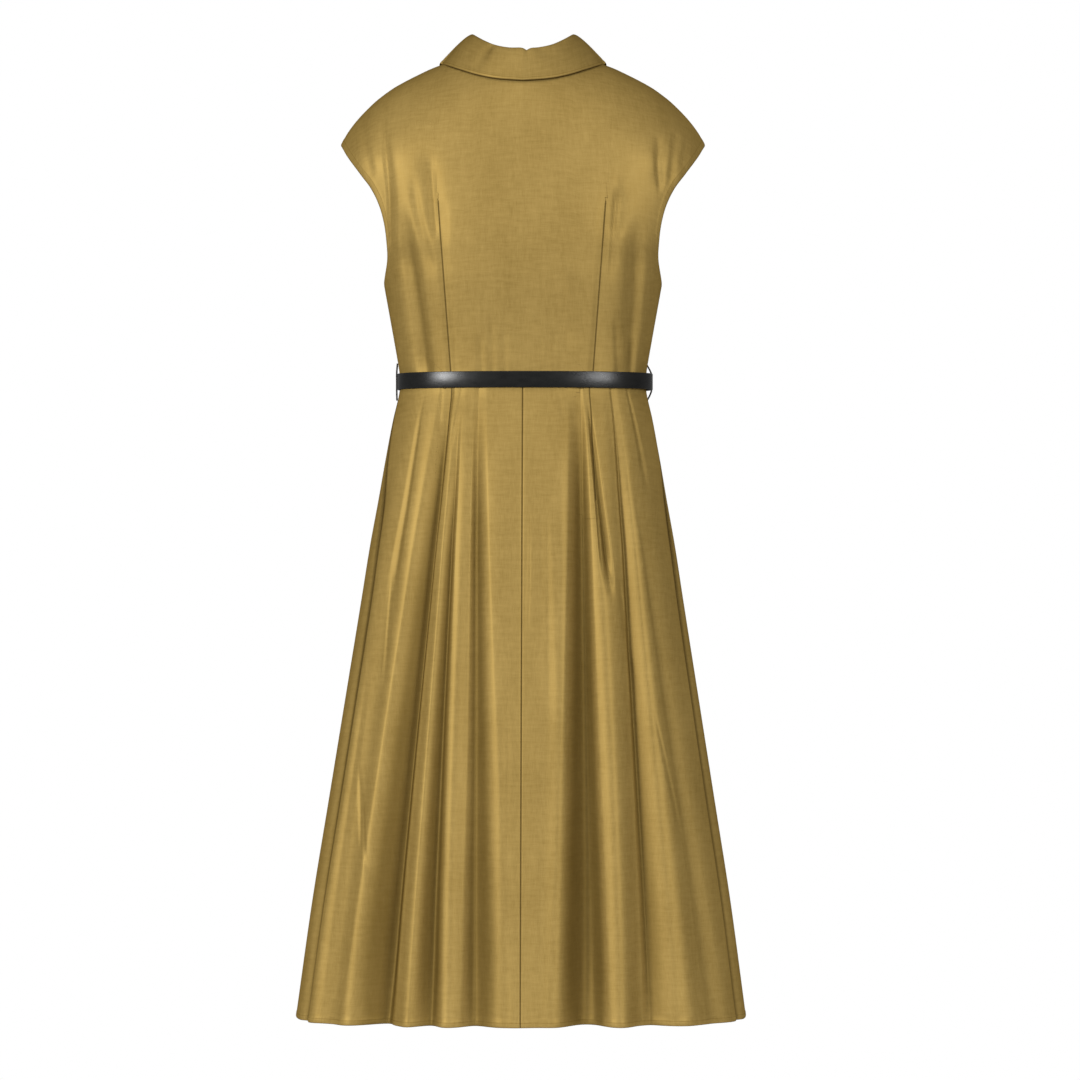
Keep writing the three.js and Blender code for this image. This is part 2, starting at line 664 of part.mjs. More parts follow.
function rectangle(halfWidth, halfHeight, corner, make) {
  const shape = new make();
  shape.moveTo(-halfWidth + corner, -halfHeight);
  shape.lineTo(halfWidth - corner, -halfHeight);
  shape.absarc(halfWidth - corner, -halfHeight + corner, corner, -Math.PI / 2, 0);
  shape.absarc(halfWidth - corner, halfHeight - corner, corner, 0, Math.PI / 2);
  shape.absarc(-halfWidth + corner, halfHeight - corner, corner, Math.PI / 2, Math.PI);
  shape.absarc(-halfWidth + corner, -halfHeight + corner, corner, Math.PI, Math.PI * 1.5);
  return shape;
}

// A flat ring with a rounded outline, its hole cut through, pushed out along its depth
function ringPlate(halfWidth, halfHeight, edge, corner, depth) {
  const shape = rectangle(halfWidth, halfHeight, corner, THREE.Shape);
  shape.holes.push(rectangle(halfWidth - edge, halfHeight - edge, Math.max(corner - edge, 0.3), THREE.Path));
  return new THREE.ExtrudeGeometry(shape, { depth, bevelEnabled: false, curveSegments: 4 });
}

function buckle({ barOut, overFold, lying }) {
  const halfHeight = BELT_HEIGHT / 2 + BUCKLE_CLEAR + BUCKLE_WIRE;
  const halfWidth = BUCKLE_HALF_WIDTH + BUCKLE_WIRE / 2;
  const wire = ringPlate(halfWidth, halfHeight, BUCKLE_WIRE, BUCKLE_CORNER, BUCKLE_WIRE);
  const frame = add('buckle_frame', wire, METAL_LOOK);
  frame.rotation.x = Math.PI / 2;
  frame.position.copy(beltPlace(0, barOut + BUCKLE_WIRE / 2)).setX(0);
  const onBar = barOut + BUCKLE_WIRE / 2 + GAP + PRONG_THICK / 2;
  const onStrap = overFold + BELT_THICK / 2 + GAP + PRONG_THICK / 2 + PRONG_EASE;
  const prong = [
    [BUCKLE_HALF_WIDTH - 5, onStrap],
    [BUCKLE_HALF_WIDTH - 9, onStrap - PRONG_EASE],
    [-BUCKLE_HALF_WIDTH + 4, onBar + 0.5],
    [-BUCKLE_HALF_WIDTH, onBar + PRONG_EASE],
    [-halfWidth - PRONG_TAIL, onBar + PRONG_EASE],
  ].map(([x, out]) => beltPlace(x, out));
  add('buckle_prong', strip(prong, PRONG_THICK, PRONG_HEIGHT), METAL_LOOK);
  const inside = -GAP;
  const outside = lying + BELT_THICK / 2 + GAP + PRONG_EASE;
  const deep = (outside - inside) / 2 + KEEPER_THICK;
  const tall = BELT_HEIGHT / 2 + KEEPER_CLEAR + KEEPER_THICK;
  const ring = ringPlate(deep, tall, KEEPER_THICK, KEEPER_CORNER, KEEPER_WIDTH);
  const keeper = add('belt_keeper', ring, LEATHER_LOOK);
  const run = beltPlace(KEEPER_X + 1, 0).sub(beltPlace(KEEPER_X - 1, 0)).normalize();
  const out = new THREE.Vector3(-run.y, run.x, 0);
  keeper.setRotationFromMatrix(new THREE.Matrix4().makeBasis(out, new THREE.Vector3(0, 0, 1), run));
  keeper.position.copy(beltPlace(KEEPER_X, (outside + inside) / 2)).addScaledVector(run, -KEEPER_WIDTH / 2);
}

// A thread loop at each side seam holds the belt up; it stands clear of the cloth between its ends.
function beltLoop(name, turn) {
  const radius = LOOP_WIRE / 2;
  const section = new THREE.Shape();
  section.absarc(0, 0, radius, 0, 2 * Math.PI);
  const out = ringPoint(BELT, turn, 0).normal;
  const cloth = (z) => {
    const [rows, half] = z > WAIST_Z ? [BODICE, 'width'] : [SKIRT, 'half'];
    const side = Math.abs(turn) < 90 ? 'back' : 'front';
    const size = { half: along(rows, 'z', half, z), [side]: along(rows, 'z', side, z) };
    return ringPoint(size, turn, z).point.addScaledVector(out, GAP + radius + LOOP_EASE);
  };
  const strapSide = (z) => beltRing(turn, BELT_THICK + GAP + radius).setZ(z);
  const path = new THREE.CatmullRomCurve3([
    cloth(WAIST_Z + LOOP_REACH),
    strapSide(WAIST_Z + LOOP_STRAIGHT),
    strapSide(WAIST_Z),
    strapSide(WAIST_Z - LOOP_STRAIGHT),
    cloth(WAIST_Z - LOOP_REACH),
  ]);
  const cord = new THREE.ExtrudeGeometry(section, { steps: 8, curveSegments: 4, extrudePath: path });
  add(name, cord, THREAD_LOOK);
}

bodice();
skirt();
band('button_band_bodice', NECK_FRONT[0].z - 1, WAIST_Z + HALF_GAP, 14);
band('button_band_skirt', WAIST_Z - HALF_GAP, HEM_Z + 1, 12);
buttons();
stand();
fall();
buckle(strap());
beltLoop('belt_loop_left', -92);
beltLoop('belt_loop_right', 100);

export default dress;
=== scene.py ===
"""A worn-form shirt dress in olive-gold satin with a narrow black belt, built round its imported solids.

Sizes are in millimetres in the formulas and become metres where a mesh is made. +X is the wearer's
right, +Y the wearer's front, +Z up, and the origin is the middle of the neck's base.
"""

import bpy
import numpy as np
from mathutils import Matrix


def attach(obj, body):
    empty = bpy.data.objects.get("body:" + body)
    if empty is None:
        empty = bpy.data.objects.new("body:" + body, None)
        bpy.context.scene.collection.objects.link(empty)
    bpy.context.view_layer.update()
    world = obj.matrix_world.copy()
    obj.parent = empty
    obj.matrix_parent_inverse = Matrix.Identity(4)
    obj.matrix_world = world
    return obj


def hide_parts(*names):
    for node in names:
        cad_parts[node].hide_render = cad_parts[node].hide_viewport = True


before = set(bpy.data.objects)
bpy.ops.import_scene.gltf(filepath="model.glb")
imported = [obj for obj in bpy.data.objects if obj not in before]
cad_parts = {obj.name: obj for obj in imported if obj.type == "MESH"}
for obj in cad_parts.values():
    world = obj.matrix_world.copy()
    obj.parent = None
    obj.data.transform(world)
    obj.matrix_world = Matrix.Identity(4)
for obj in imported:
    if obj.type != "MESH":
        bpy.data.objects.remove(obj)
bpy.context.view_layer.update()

MM = 0.001
UP = np.array([0, 0, 1.0])
FRONT = np.array([0, 1.0, 0])

# Driving dimensions, the same as the solids'
GAP = 0.3
HALF_GAP = GAP / 2
WAIST_Z = -395.0
HEM_Z = -1187.0
HEM_LIFT = 4.5
HEM_SWAY = -2.5
HIP_Z = -567.0
NECK_HALF_WIDTH = 72.0
CAP_TIP_X = 228.0
SHOULDER_ROUND = 110.0
COLLAR_X = 104.0
NECK_SLOPE = 0.32
RING_SQUARENESS = 2.25
STAND_HEIGHT = 29.0
STAND_EXTRA = 2.0
SOLID_COLLAR = 2.0
LAP_OUT = SOLID_COLLAR + GAP + 0.4
FALL_END = 178.0
BAND_HALF_WIDTH = 15.0
BAND_OUT = 1.95
BELT_HEIGHT = 20.0
BELT_THICK = 1.8
BELT_SIZE = (157.8, 81.6, 89.5)
BELT_SHIFT = 2.6
BUCKLE_WIRE = 2.4
BUCKLE_HALF_WIDTH = 15.0
PRONG_THICK = 1.5
KEEPER_X = 42.0
KEEPER_WIDTH = 8.0
KEEPER_THICK = 1.0
STRAP_END = (34, 50, 66, 82, 98)
LOOP_WIRE = 1.6
LOOP_REACH = 23.0
LOOP_STRAIGHT = 11.0
LOOP_EASE = 0.35
ARMHOLE_ROWS = 11
BODICE_ROWS = 18
BODICE_COLUMNS = 13
NECK_COLUMNS = 6
FRONT_SCOOP = 8.0

# Sizes of the sewing
CLOTH = 1.2
COLLAR_CLOTH = 1.8
HEM_FOLD = 7.5
ARMHOLE_FOLD = 10.0
COLLAR_STITCH = 5.0
BAND_STITCH = 3.0
STAND_STITCH = 3.0
SEAM_DIP = 0.8
SEAM_WIDTH = 1.4
SEAM_LAP = 0.15
EDGE_SHOWS = 0.6  # how wide a finished edge's line shows, where a seam's is 1
RIM_ROUND = 0.45  # a rim's radius as a share of the wall
FOLD_RISE = 0.35  # how far a folded edge stands out, and the next one how far in
FOLD_SINK = 0.45
STITCH_SHIFT = 1.5  # from a folded edge's end back to its stitches
NO_LINE = 99.0  # a distance at which no line shows
LOOP_TURNS = {"left": -92.0, "right": 100.0}
STRAND_RADIUS = 0.68
STRAND_OFFSET = 0.55
STRAND_PITCH = 3.2
BUTTON_HOLE = 1.5
BUTTON_HOLE_WIDTH = 0.6
BUTTON_HOLE_DEPTH = 1.2
BUTTON_THREAD = 0.35
BUTTON_DISH = 2.0
BUTTON_PROFILE = [(0, 0), (4.8, 0), (6, 0.7), (6, 1.9), (5.6, 2.5), (4.9, 2.6), (4, 2.05), (0, BUTTON_DISH)]


def table(columns, rows):
    """Rows of numbers under named columns, as one array for each column."""
    return dict(zip(columns.split(), np.array(rows, float).T))


BODICE = table("z width back front square", [
    (40, 240, 78, 50, 2.6), (0, 240, 82, 53, 2.6), (-40, 240, 89, 57, 2.6),
    (-80, 239.5, 95, 66, 2.6), (-118, 235, 100, 80, 2.6), (-142, 224, 103, 90, 2.6),
    (-181, 209, 105, 106, 2.6), (-203, 201, 105, 113, 2.6), (-225, 191.5, 104, 118, 2.6),
    (-246, 179, 102, 120, 2.6), (-270, 174, 99, 119, 2.55), (-292, 170, 95, 114, 2.5),
    (-342, 161, 85, 98, 2.35), (-380, 154.5, 79.5, 86, 2.25), (-395, 153, 79, 84, 2.25),
])
SHOULDER = table("x z", [
    (72, 10.24), (104, 0), (120, -6.5), (158, -26), (178, -40),
    (189, -49.5), (206, -67), (219, -84), (228, -100),
])
NECK = {
    "back": table("x z", [(0, -20), (19, -19), (38, -13.5), (52, -6), (62, 1), (69, 7), (72, 10.24)]),
    "front": table("x z", [(0, -72), (24, -66), (43, -50), (57, -30), (66, -8), (71, 5), (72, 10.24)]),
}
ARMHOLE = table("x z", [
    (228, -100), (217.8, -118), (200.7, -142), (187.5, -160), (177.3, -181),
    (171.3, -203), (168.6, -225), (168.1, -246), (172, -268), (173.4, -274),
])
BODICE_FOLDS = table("x1 z1 x2 z2 width depth", [
    (-104, -176, -87, -392, 5, 2),
    (102, -176, 86, -392, 5, 2),
    (-176, -70, -164, -226, 12, 2.6),
    (-116, -115, -107, -205, 12, 2.4),
    (-146, -205, -121, -375, 12, 4.2),
    (170, -95, 168, -150, 10, 2),
    (116, -165, 112, -212, 11, 2.5),
    (138, -212, 130, -340, 12, 3.5),
])
BUST_DARTS = table("x1 z1 x2 z2 width depth", [
    (-78, -262, -70, -392, 5, 2),
    (78, -262, 70, -392, 5, 2),
    (-118, -215, -104, -372, 13, 3.5),
    (122, -205, 101, -376, 12, 3.5),
    (-30, -300, -28, -385, 12, 2),
    (36, -290, 33, -385, 13, 2),
])
SKIRT = table("z half back front", [
    (-395, 153, 79, 84), (-412, 155, 81.4, 86), (-442, 162, 91, 91),
    (-490, 171, 103, 97), (-542, 180, 111, 102), (-600, 190.5, 117, 107),
    (-667, 201, 122, 112), (-792, 221, 130, 121), (-917, 241, 137, 130),
    (-1042, 261, 143, 138), (-1187, 281, 149, 146),
])
SIDE_SEAM = table("z left right", [
    (-395, 89, 90), (-475, 80, 88), (-540, 72, 79),
    (-620, 68, 75), (-760, 67, 73), (-1187, 69, 73),
])
FLUTES = table("hip hem start width depth", [
    (-50, -53, -400, 5, -3),
    (-33.5, -35, -405, 6, -18),
    (-24, -21, -470, 3.5, -9),
    (-17.5, -10, -400, 4, -11),
    (4, 5, -470, 4, -2),
    (21, 14.5, -400, 5, -20),
    (39.5, 31, -400, 4.5, -13),
    (50, 57, -520, 6, -3),
    (-27.5, -27, -430, 3, 5),
    (-20.5, -15.5, -430, 3.5, 5),
    (-44.5, -46, -430, 6, 6),
    (-7, -3, -450, 5, 4),
    (13, 7, -430, 3, 5),
    (27, 22.5, -430, 4, 8),
    (46, 44, -430, 5, 5),
    (-63, -64, -470, 5, 4),
    (-69.5, -71, -500, 3, -5),
    (75, 74.5, -520, 3, -5),
    (-102, -104, -430, 6, -9),
    (-118, -121, -420, 5, 7),
    (-132, -136, -405, 5.5, -11),
    (-146, -149, -430, 5, 6),
    (-159, -162, -405, 4.5, -7),
    (104, 103, -440, 6, -8),
    (117, 119, -420, 5.5, 7),
    (133, 133, -405, 5, -12),
    (147, 148, -430, 4.5, 6),
    (160, 163, -405, 4, -6),
])
COLLAR_EDGE = table("turn x z clear", [
    (0, 0, -28.5, 4.5), (20, 31, -25.5, 4.5), (40, 56, -19.5, 4), (58, 78, -11, 4),
    (75, 95, -3, 3.5), (90, 104.5, 2.6, 0), (105, 103, -7, 6), (120, 94, -32, 6),
    (135, 82, -57, 4), (150, 70, -79, 4), (163, 61, -95, 4), (176, 55, -104, 4),
])
BUTTON_HEIGHTS = (-98, -170, -242, -314, -480, -580, -680, -780, -880)

# Creases finer than the solids'. On the bodice x and z are millimetres, and on the skirt x is a turn
# from the centre back in degrees. left and right are the widths of a crease's two walls, and bow is how
# far its middle swings out.
BACK_CREASES = table("x1 z1 x2 z2 left right depth bow", [
    (-175, -72, -163, -238, 3.5, 9, 2.8, 4),
    (-112, -128, -106, -216, 7, 3, 2.4, 0),
    (-134, -150, -111, -256, 8, 6, 1.8, -3),
    (-144, -196, -116, -392, 13, 7, 4.0, 3),
    (-97, -180, -94, -228, 6, 5, 1.0, 0),
    (-165, -240, -147, -392, 8, 8, 1.4, 0),
    (-200, -64, -186, -140, 9, 6, 2.0, 0),
    (166, -96, 167, -158, 2.6, 7, 2.2, -2),
    (188, -88, 181, -150, 5, 9, 2.0, 0),
    (203, -92, 196, -128, 5, 7, 1.2, 0),
    (116, -150, 107, -262, 3, 7, 2.4, 0),
    (140, -205, 128, -392, 13, 10, 3.2, 3),
    (114, -318, 117, -394, 4, 8, 1.6, 0),
    (134, -345, 133, -394, 4, 6, 1.4, 0),
    (54, -262, 58, -345, 7, 14, 1.4, 2),
    (-52, -340, -50, -394, 6, 4, 1.0, 0),
    (-38, -318, -38, -394, 4, 5, 0.9, 0),
    (-22, -330, -22, -394, 5, 4, 0.9, 0),
    (38, -335, 36, -394, 5, 6, 0.9, 0),
    (20, -345, 21, -394, 4, 5, 0.8, 0),
])
FRONT_CREASES = table("x1 z1 x2 z2 left right depth bow", [
    (-122, -205, -106, -392, 18, 11, 5.0, 4),
    (125, -200, 106, -392, 12, 18, 5.0, -4),
    (-152, -118, -118, -222, 12, 9, 2.6, 5),
    (153, -108, 120, -218, 9, 12, 2.6, -5),
    (-62, -118, -72, -214, 10, 8, 1.4, 3),
    (60, -122, 70, -216, 8, 10, 1.4, -3),
    (-92, -264, -84, -392, 8, 7, 1.6, 0),
    (94, -262, 84, -392, 7, 8, 1.6, 0),
    (-42, -322, -38, -394, 7, 6, 1.3, 1),
    (46, -330, 42, -394, 6, 7, 1.3, -1),
    (-104, -336, -98, -394, 6, 5, 1.6, 1),
    (146, -300, 137, -394, 7, 8, 1.8, 0),
    (-146, -296, -138, -394, 8, 7, 1.8, 0),
])
SKIRT_CREASES = table("x1 z1 x2 z2 left right depth bow", [
    (-31.8, -405, -35, -1190, 11.5, 3.0, 17, -1.2),
    (-26.0, -450, -20.8, -1190, 4.6, 3.0, 13, 0),
    (-18.4, -400, -9.4, -1190, 2.8, 7.0, 13, 1.4),
    (24.8, -400, 17.2, -1190, 10.5, 2.6, 18, -1.0),
    (28.4, -425, 30.4, -630, 3.4, 1.8, 9, 0),
    (28.0, -440, 27.2, -610, 0.9, 1.0, 2.4, 0),
    (43.0, -400, 33.5, -1190, 2.6, 6.0, 9, -1.0),
    (48, -520, 56, -1190, 3, 6, 1.4, 0),
    (-49.5, -425, -51, -640, 3.5, 3.0, 2.6, 0.5),
    (-60, -760, -60, -1190, 4, 5, 2.0, 0),
    (-26.5, -405, -28.8, -470, 0.8, 1.3, 1.4, 0),
    (-38, -400, -37, -450, 2.0, 2.0, 1.2, 0),
    (1.9, -545, 1.1, -700, 0.5, 0.8, 1.3, 0.2),
    (7.5, -540, 6.5, -800, 2.6, 2.4, 1.6, 0),
    (-3.6, -740, -2.2, -1190, 2.0, 2.0, 1.8, 0),
    (14.5, -400, 15, -440, 1.6, 1.6, 1.0, 0),
    (55, -400, 58, -520, 3.0, 3.0, 1.6, 0),
    (-57, -872, -50, -965, 1.4, 3.0, 1.5, 0),
    (-52, -915, -44, -1010, 1.0, 2.0, 1.2, 0),
    (-53, -640, -49, -755, 1.6, 3.0, 1.0, 0),
    (35, -640, 39, -780, 3.0, 1.6, 1.0, 0),
    (44, -800, 50, -940, 2.2, 1.4, 1.0, 0),
    (-103, -410, -106, -1190, 8, 4, 11, 1),
    (-131, -400, -138, -1190, 9, 3.6, 14, 1),
    (-118, -470, -123, -900, 4, 3, 4, 0),
    (-158, -400, -160, -1190, 5, 4, 8, -1),
    (-148, -400, -150, -560, 2, 3, 3, 0),
    (108, -410, 104, -1190, 4, 8, 11, -1),
    (134, -400, 131, -1190, 4, 9, 14, -1),
    (121, -480, 120, -880, 3, 4, 4, 0),
    (158, -400, 162, -1190, 4, 5, 8, 1),
    (146, -400, 149, -540, 3, 2, 3, 0),
])

# How round a crease's bottom is, how its walls bend, how much a skirt's crease grows on its way, and the
# two depths between which the painted shade in its hollow grows from none to full
CREASE_ROUND = 0.22
CREASE_SHOULDER = 1.3
SKIRT_GROWTH = 0.5
BODICE_PAINTED_SHADE = (1.0, 6.5)
SKIRT_PAINTED_SHADE = (0.8, 8.0)

# The side seam's groove: its depth, its width and the width of its painted shade in degrees, and how wide the
# seam's line shows
SIDE_GROOVE = 1.2
SIDE_GROOVE_WIDTH = 1.2
SIDE_SHADE_WIDTH = 0.9
SIDE_SHOWS = 6.0

# The collar's notch and dents: depths in millimetres, places and widths in degrees, and how much darker the
# fall's colour is painted all over
NOTCH = 3.2
NOTCH_TURN = 4.0
NOTCH_WIDTH = 3.5
DENT = 2.6
DENT_TURN = -35.0
DENT_WIDTH = 4.5
COLLAR_TONE = 0.26
ROLL_OUT = 7.0
ROLL_UP = 4.0

# Sewn darts, from the point to the waist: x is millimetres on the bodice and degrees on the skirt
DARTS = {
    "back": table("x1 z1 x2 z2", [(-103.5, -178, -88, -395), (101.5, -179, 86, -395)]),
    "front": table("x1 z1 x2 z2", [(-78, -262, -70, -395), (78, -262, 70, -395)]),
    "skirt": table("x1 z1 x2 z2", [(-32.2, -395, -31.5, -512), (29.6, -395, 27.6, -545)]),
}

# How big each piece is cut: the width and length that hold it, and its flat area
CUT = {
    "back_bodice": (0.50, 0.42, 0.170),
    "front_bodice_left": (0.25, 0.42, 0.080),
    "front_bodice_right": (0.25, 0.42, 0.080),
    "skirt_back_left": (0.34, 0.81, 0.190),
    "skirt_back_right": (0.36, 0.81, 0.200),
    "skirt_front_left": (0.44, 0.81, 0.265),
    "skirt_front_right": (0.43, 0.81, 0.255),
    "button_band_bodice": (0.03, 0.335, 0.010),
    "button_band_skirt": (0.03, 0.80, 0.024),
    "collar_stand": (0.41, 0.031, 0.0125),
    "collar_fall": (0.44, 0.075, 0.0275),
}


# Numbers and curves
def along(rows, key, value, at):
    """A smooth curve through a table's rows: cubic pieces whose slopes are those of the neighbours."""
    up = 1.0 if rows[key][-1] > rows[key][0] else -1.0
    place, level = rows[key] * up, rows[value]
    slope = np.gradient(level, place)
    slope[1:-1] = (level[2:] - level[:-2]) / (place[2:] - place[:-2])
    t = np.clip(np.asarray(at, float) * up, place[0], place[-1])
    i = np.clip(np.searchsorted(place, t) - 1, 0, len(place) - 2)
    span = place[i + 1] - place[i]
    f = (t - place[i]) / span
    g = 1 - f
    start = level[i] * (1 + 2 * f) * g * g + slope[i] * span * f * g * g
    return start + level[i + 1] * f * f * (3 - 2 * f) - slope[i + 1] * span * f * f * g


def blend(a, b, t):
    return a + (b - a) * t


def smooth(t, low, high):
    """0 below low, 1 above high and an S between them."""
    s = np.clip((t - low) / (high - low), 0, 1)
    return s * s * (3 - 2 * s)


def bump(t):
    """A soft hill: e to the minus t squared."""
    return np.exp(-t * t)


def unit(v):
    return v / np.maximum(np.linalg.norm(v, axis=-1, keepdims=True), 1e-9)


def circle(count):
    """Points round a circle of radius 1."""
    turn = np.linspace(0, 2 * np.pi, count, endpoint=False)
    return np.stack([np.cos(turn), np.sin(turn)], -1)


def joined(x, y, z):
    return np.stack(np.broadcast_arrays(x, y, z), -1)


def run_length(points, axis):
    """How far each grid point lies along its line from the line's first point."""
    gaps = np.linalg.norm(np.diff(points, axis=axis), axis=-1)
    zero = np.zeros_like(np.take(gaps, [0], axis))
    return np.concatenate([zero, np.cumsum(gaps, axis)], axis)


def grid_normals(points, outward):
    """The cross product of the grid's two directions, turned to the side that outward names."""
    normals = unit(np.cross(np.gradient(points, axis=1), np.gradient(points, axis=0)))
    return normals * np.sign((normals * outward).sum(-1).mean())


def spread(count, length, *folds):
    """Shares from 0 to 1 along a length, with extra ones where the cloth turns over at both ends and
    beside the folds, which are distances from an end."""
    close = [0.0, 0.3, 0.8, 1.7, 3.2]
    for fold in folds:
        close += [fold - 0.6, fold + 0.1, fold + 1.0]
    near = np.array(close) / length
    return np.concatenate([near, np.linspace(near[-1], 1 - near[-1], count)[1:-1], 1 - near[::-1]])


# Meshes
def show(name, data):
    """A new object in the scene."""
    made = bpy.data.objects.new(name, data)
    bpy.context.scene.collection.objects.link(made)
    return made


def grid_faces(rows, columns, around=False, looped=False):
    """The quads of a grid of points. around joins its last column to its first, looped its rows."""
    i = np.arange(rows if looped else rows - 1)[:, None]
    j = np.arange(columns if around else columns - 1)[None, :]
    below = (i + 1) % rows
    beside = (j + 1) % columns
    corners = [i * columns + j, below * columns + j, below * columns + beside, i * columns + beside]
    return np.stack(np.broadcast_arrays(*corners), -1).reshape(-1, 4)


def facing_out(points, faces):
    """The same faces, turned over if the volume that they close is minus."""
    volume = 0.0
    for kind in faces:
        first = points[kind[:, 0]]
        for k in range(1, kind.shape[1] - 1):
            volume += (first * np.cross(points[kind[:, k]], points[kind[:, k + 1]])).sum()
    return faces if volume > 0 else [kind[:, ::-1] for kind in faces]


def piece(name, points, faces, finish, replaced=(), maps=None, sharp=40.0):
    """One object from points in millimetres and arrays of faces, each array with faces of one size."""
    faces = facing_out(points, faces)
    corners = np.concatenate([kind.ravel() for kind in faces]).astype(np.int32)
    sizes = np.concatenate([np.full(len(kind), kind.shape[1]) for kind in faces])
    mesh = bpy.data.meshes.new(name)
    mesh.vertices.add(len(points))
    mesh.vertices.foreach_set("co", (points * MM).astype(np.float32).ravel())
    mesh.loops.add(len(corners))
    mesh.loops.foreach_set("vertex_index", corners)
    mesh.polygons.add(len(sizes))
    mesh.polygons.foreach_set("loop_start", (np.cumsum(sizes) - sizes).astype(np.int32))
    mesh.polygons.foreach_set("use_smooth", np.ones(len(sizes), bool))
    mesh.update(calc_edges=True)
    mesh.set_sharp_from_angle(angle=np.radians(sharp))
    for layer, uv in (maps or {}).items():
        mesh.uv_layers.new(name=layer).uv.foreach_set("vector", uv[corners].astype(np.float32).ravel())
    mesh.materials.append(finish)
    made = show(name, mesh)
    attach(made, "root")
    if replaced:
        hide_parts(*replaced)
    return made


def line_distance(lines, x, z, unit_size=1.0):
    """How far each place is beside the nearest of the sewn lines, minus on one side. Past a line's
    ends the distance grows."""
    nearest = np.full(np.broadcast(x, z).shape, NO_LINE)
    for x1, z1, x2, z2, *_ in zip(*lines.values()):
        t = (z - z1) / (z2 - z1)
        past = np.maximum(np.maximum(-t, t - 1), 0) * abs(z2 - z1)
        beside = (x - blend(x1, x2, t)) * unit_size
        beside = np.sign(beside) * np.hypot(beside, past)
        nearest = np.where(np.abs(beside) < np.abs(nearest), beside, nearest)
    return nearest


def cloth_piece(
    name, points, outward, thickness=CLOTH, grain=0,
    seams=None, stitched=None, level=None, sewn=None, painted_shade=0.0,
):
    """A closed wall on a grid of outer points: rounded at its rims, drawn in along its seams and thicker
    where its edge is folded back. seams gives, for an edge, how wide its line shows, and stitched how far
    in its line of stitches runs. level marks points whose outward direction is kept square to the seam of
    front and back, sewn is the distance from a dart's line, and the last argument is painted shade: 1 deep in
    a crease, where the cloth's colour is painted darker."""
    across = run_length(points, 1)
    down = run_length(points, 0)
    away = {"left": across, "right": across[:, -1:] - across, "top": down, "foot": down[-1:] - down}
    normals = grid_normals(points, outward)
    if level is not None:
        normals[level, 1] = 0
        normals = unit(normals)
    rim = np.minimum.reduce(list(away.values()))
    radius = RIM_ROUND * thickness
    rounding = radius - np.sqrt(radius**2 - (radius - np.minimum(rim, radius)) ** 2)
    drawn = np.zeros_like(rim)
    seam = np.full_like(rim, NO_LINE) if sewn is None else sewn
    for edge, width in (seams or {}).items():
        drawn += SEAM_DIP * bump(away[edge] / SEAM_WIDTH)
        seam = np.where(away[edge] / width < np.abs(seam), away[edge] / width, seam)
    doubled = np.zeros_like(rim)
    stitch = np.stack([across, np.full_like(rim, NO_LINE)], -1)
    for edge, inset in (stitched or {}).items():
        doubled = np.maximum(doubled, 1 - smooth(away[edge], inset - 0.6, inset + 1))
        line = np.stack([across if edge in ("top", "foot") else down, away[edge] - inset + STITCH_SHIFT], -1)
        nearer = np.abs(line[..., 1]) < np.abs(stitch[..., 1])
        stitch[nearer] = line[nearer]
    outer_push = drawn + rounding - FOLD_RISE * doubled
    inner_push = drawn + thickness - rounding + FOLD_SINK * doubled
    walls = np.concatenate([
        (points - normals * outer_push[..., None]).reshape(-1, 3),
        (points - normals * inner_push[..., None]).reshape(-1, 3),
    ])
    rows, columns = rim.shape
    count = rows * columns
    outer = grid_faces(rows, columns)
    place = np.arange(count).reshape(rows, columns)
    loop = np.concatenate([place[0, :], place[1:, -1], place[-1, -2::-1], place[-2:0:-1, 0]])
    after = np.roll(loop, -1)
    rim_faces = np.stack([after, loop, loop + count, after + count], -1)
    weave = np.stack([across - across[:, [grain]], down - down[-1:]], -1).reshape(-1, 2) * MM
    maps = {
        "Cloth": np.concatenate([weave, weave]),
        "Stitch": np.tile(stitch.reshape(-1, 2) * MM, (2, 1)),
        # first the painted shade, which darkens the cloth's colour in creases, then the distance from a
        # seam's line
        "Seam": np.tile(np.stack([painted_shade / MM + 0 * rim, seam], -1).reshape(-1, 2) * MM, (2, 1)),
    }
    faces = [np.concatenate([outer, outer[:, ::-1] + count, rim_faces])]
    made = piece(f"{name}_cloth", walls, faces, DRESS_CLOTH, [name], maps, sharp=60.0)
    width, length, area = CUT[name]
    return made


def rounded_rectangle(half_width, half_height, corner, steps=4):
    """Points round a rectangle with round corners, for a bar's section or a loop's middle line."""
    turn = np.radians(np.linspace(0, 90, steps))
    arc = np.stack([np.cos(turn), np.sin(turn)], -1) * corner
    quarter = arc + np.array([half_width - corner, half_height - corner])
    flip = np.array([[1, 1], [-1, 1], [-1, -1], [1, -1]])
    parts = [quarter * flip[0], quarter[::-1] * flip[1], quarter * flip[2], quarter[::-1] * flip[3]]
    return np.concatenate(parts)


def smooth_path(points, step):
    """A curve through points at about even steps, with each stretch a cubic of its neighbours."""
    points = np.asarray(points, float)
    place = run_length(points[None], 1)[0]
    count = max(int(place[-1] / step), 2)
    at = np.linspace(0, place[-1], count + 1)
    rows = {"place": place, "x": points[:, 0], "y": points[:, 1], "z": points[:, 2]}
    return np.stack([along(rows, "place", axis, at) for axis in "xyz"], -1)


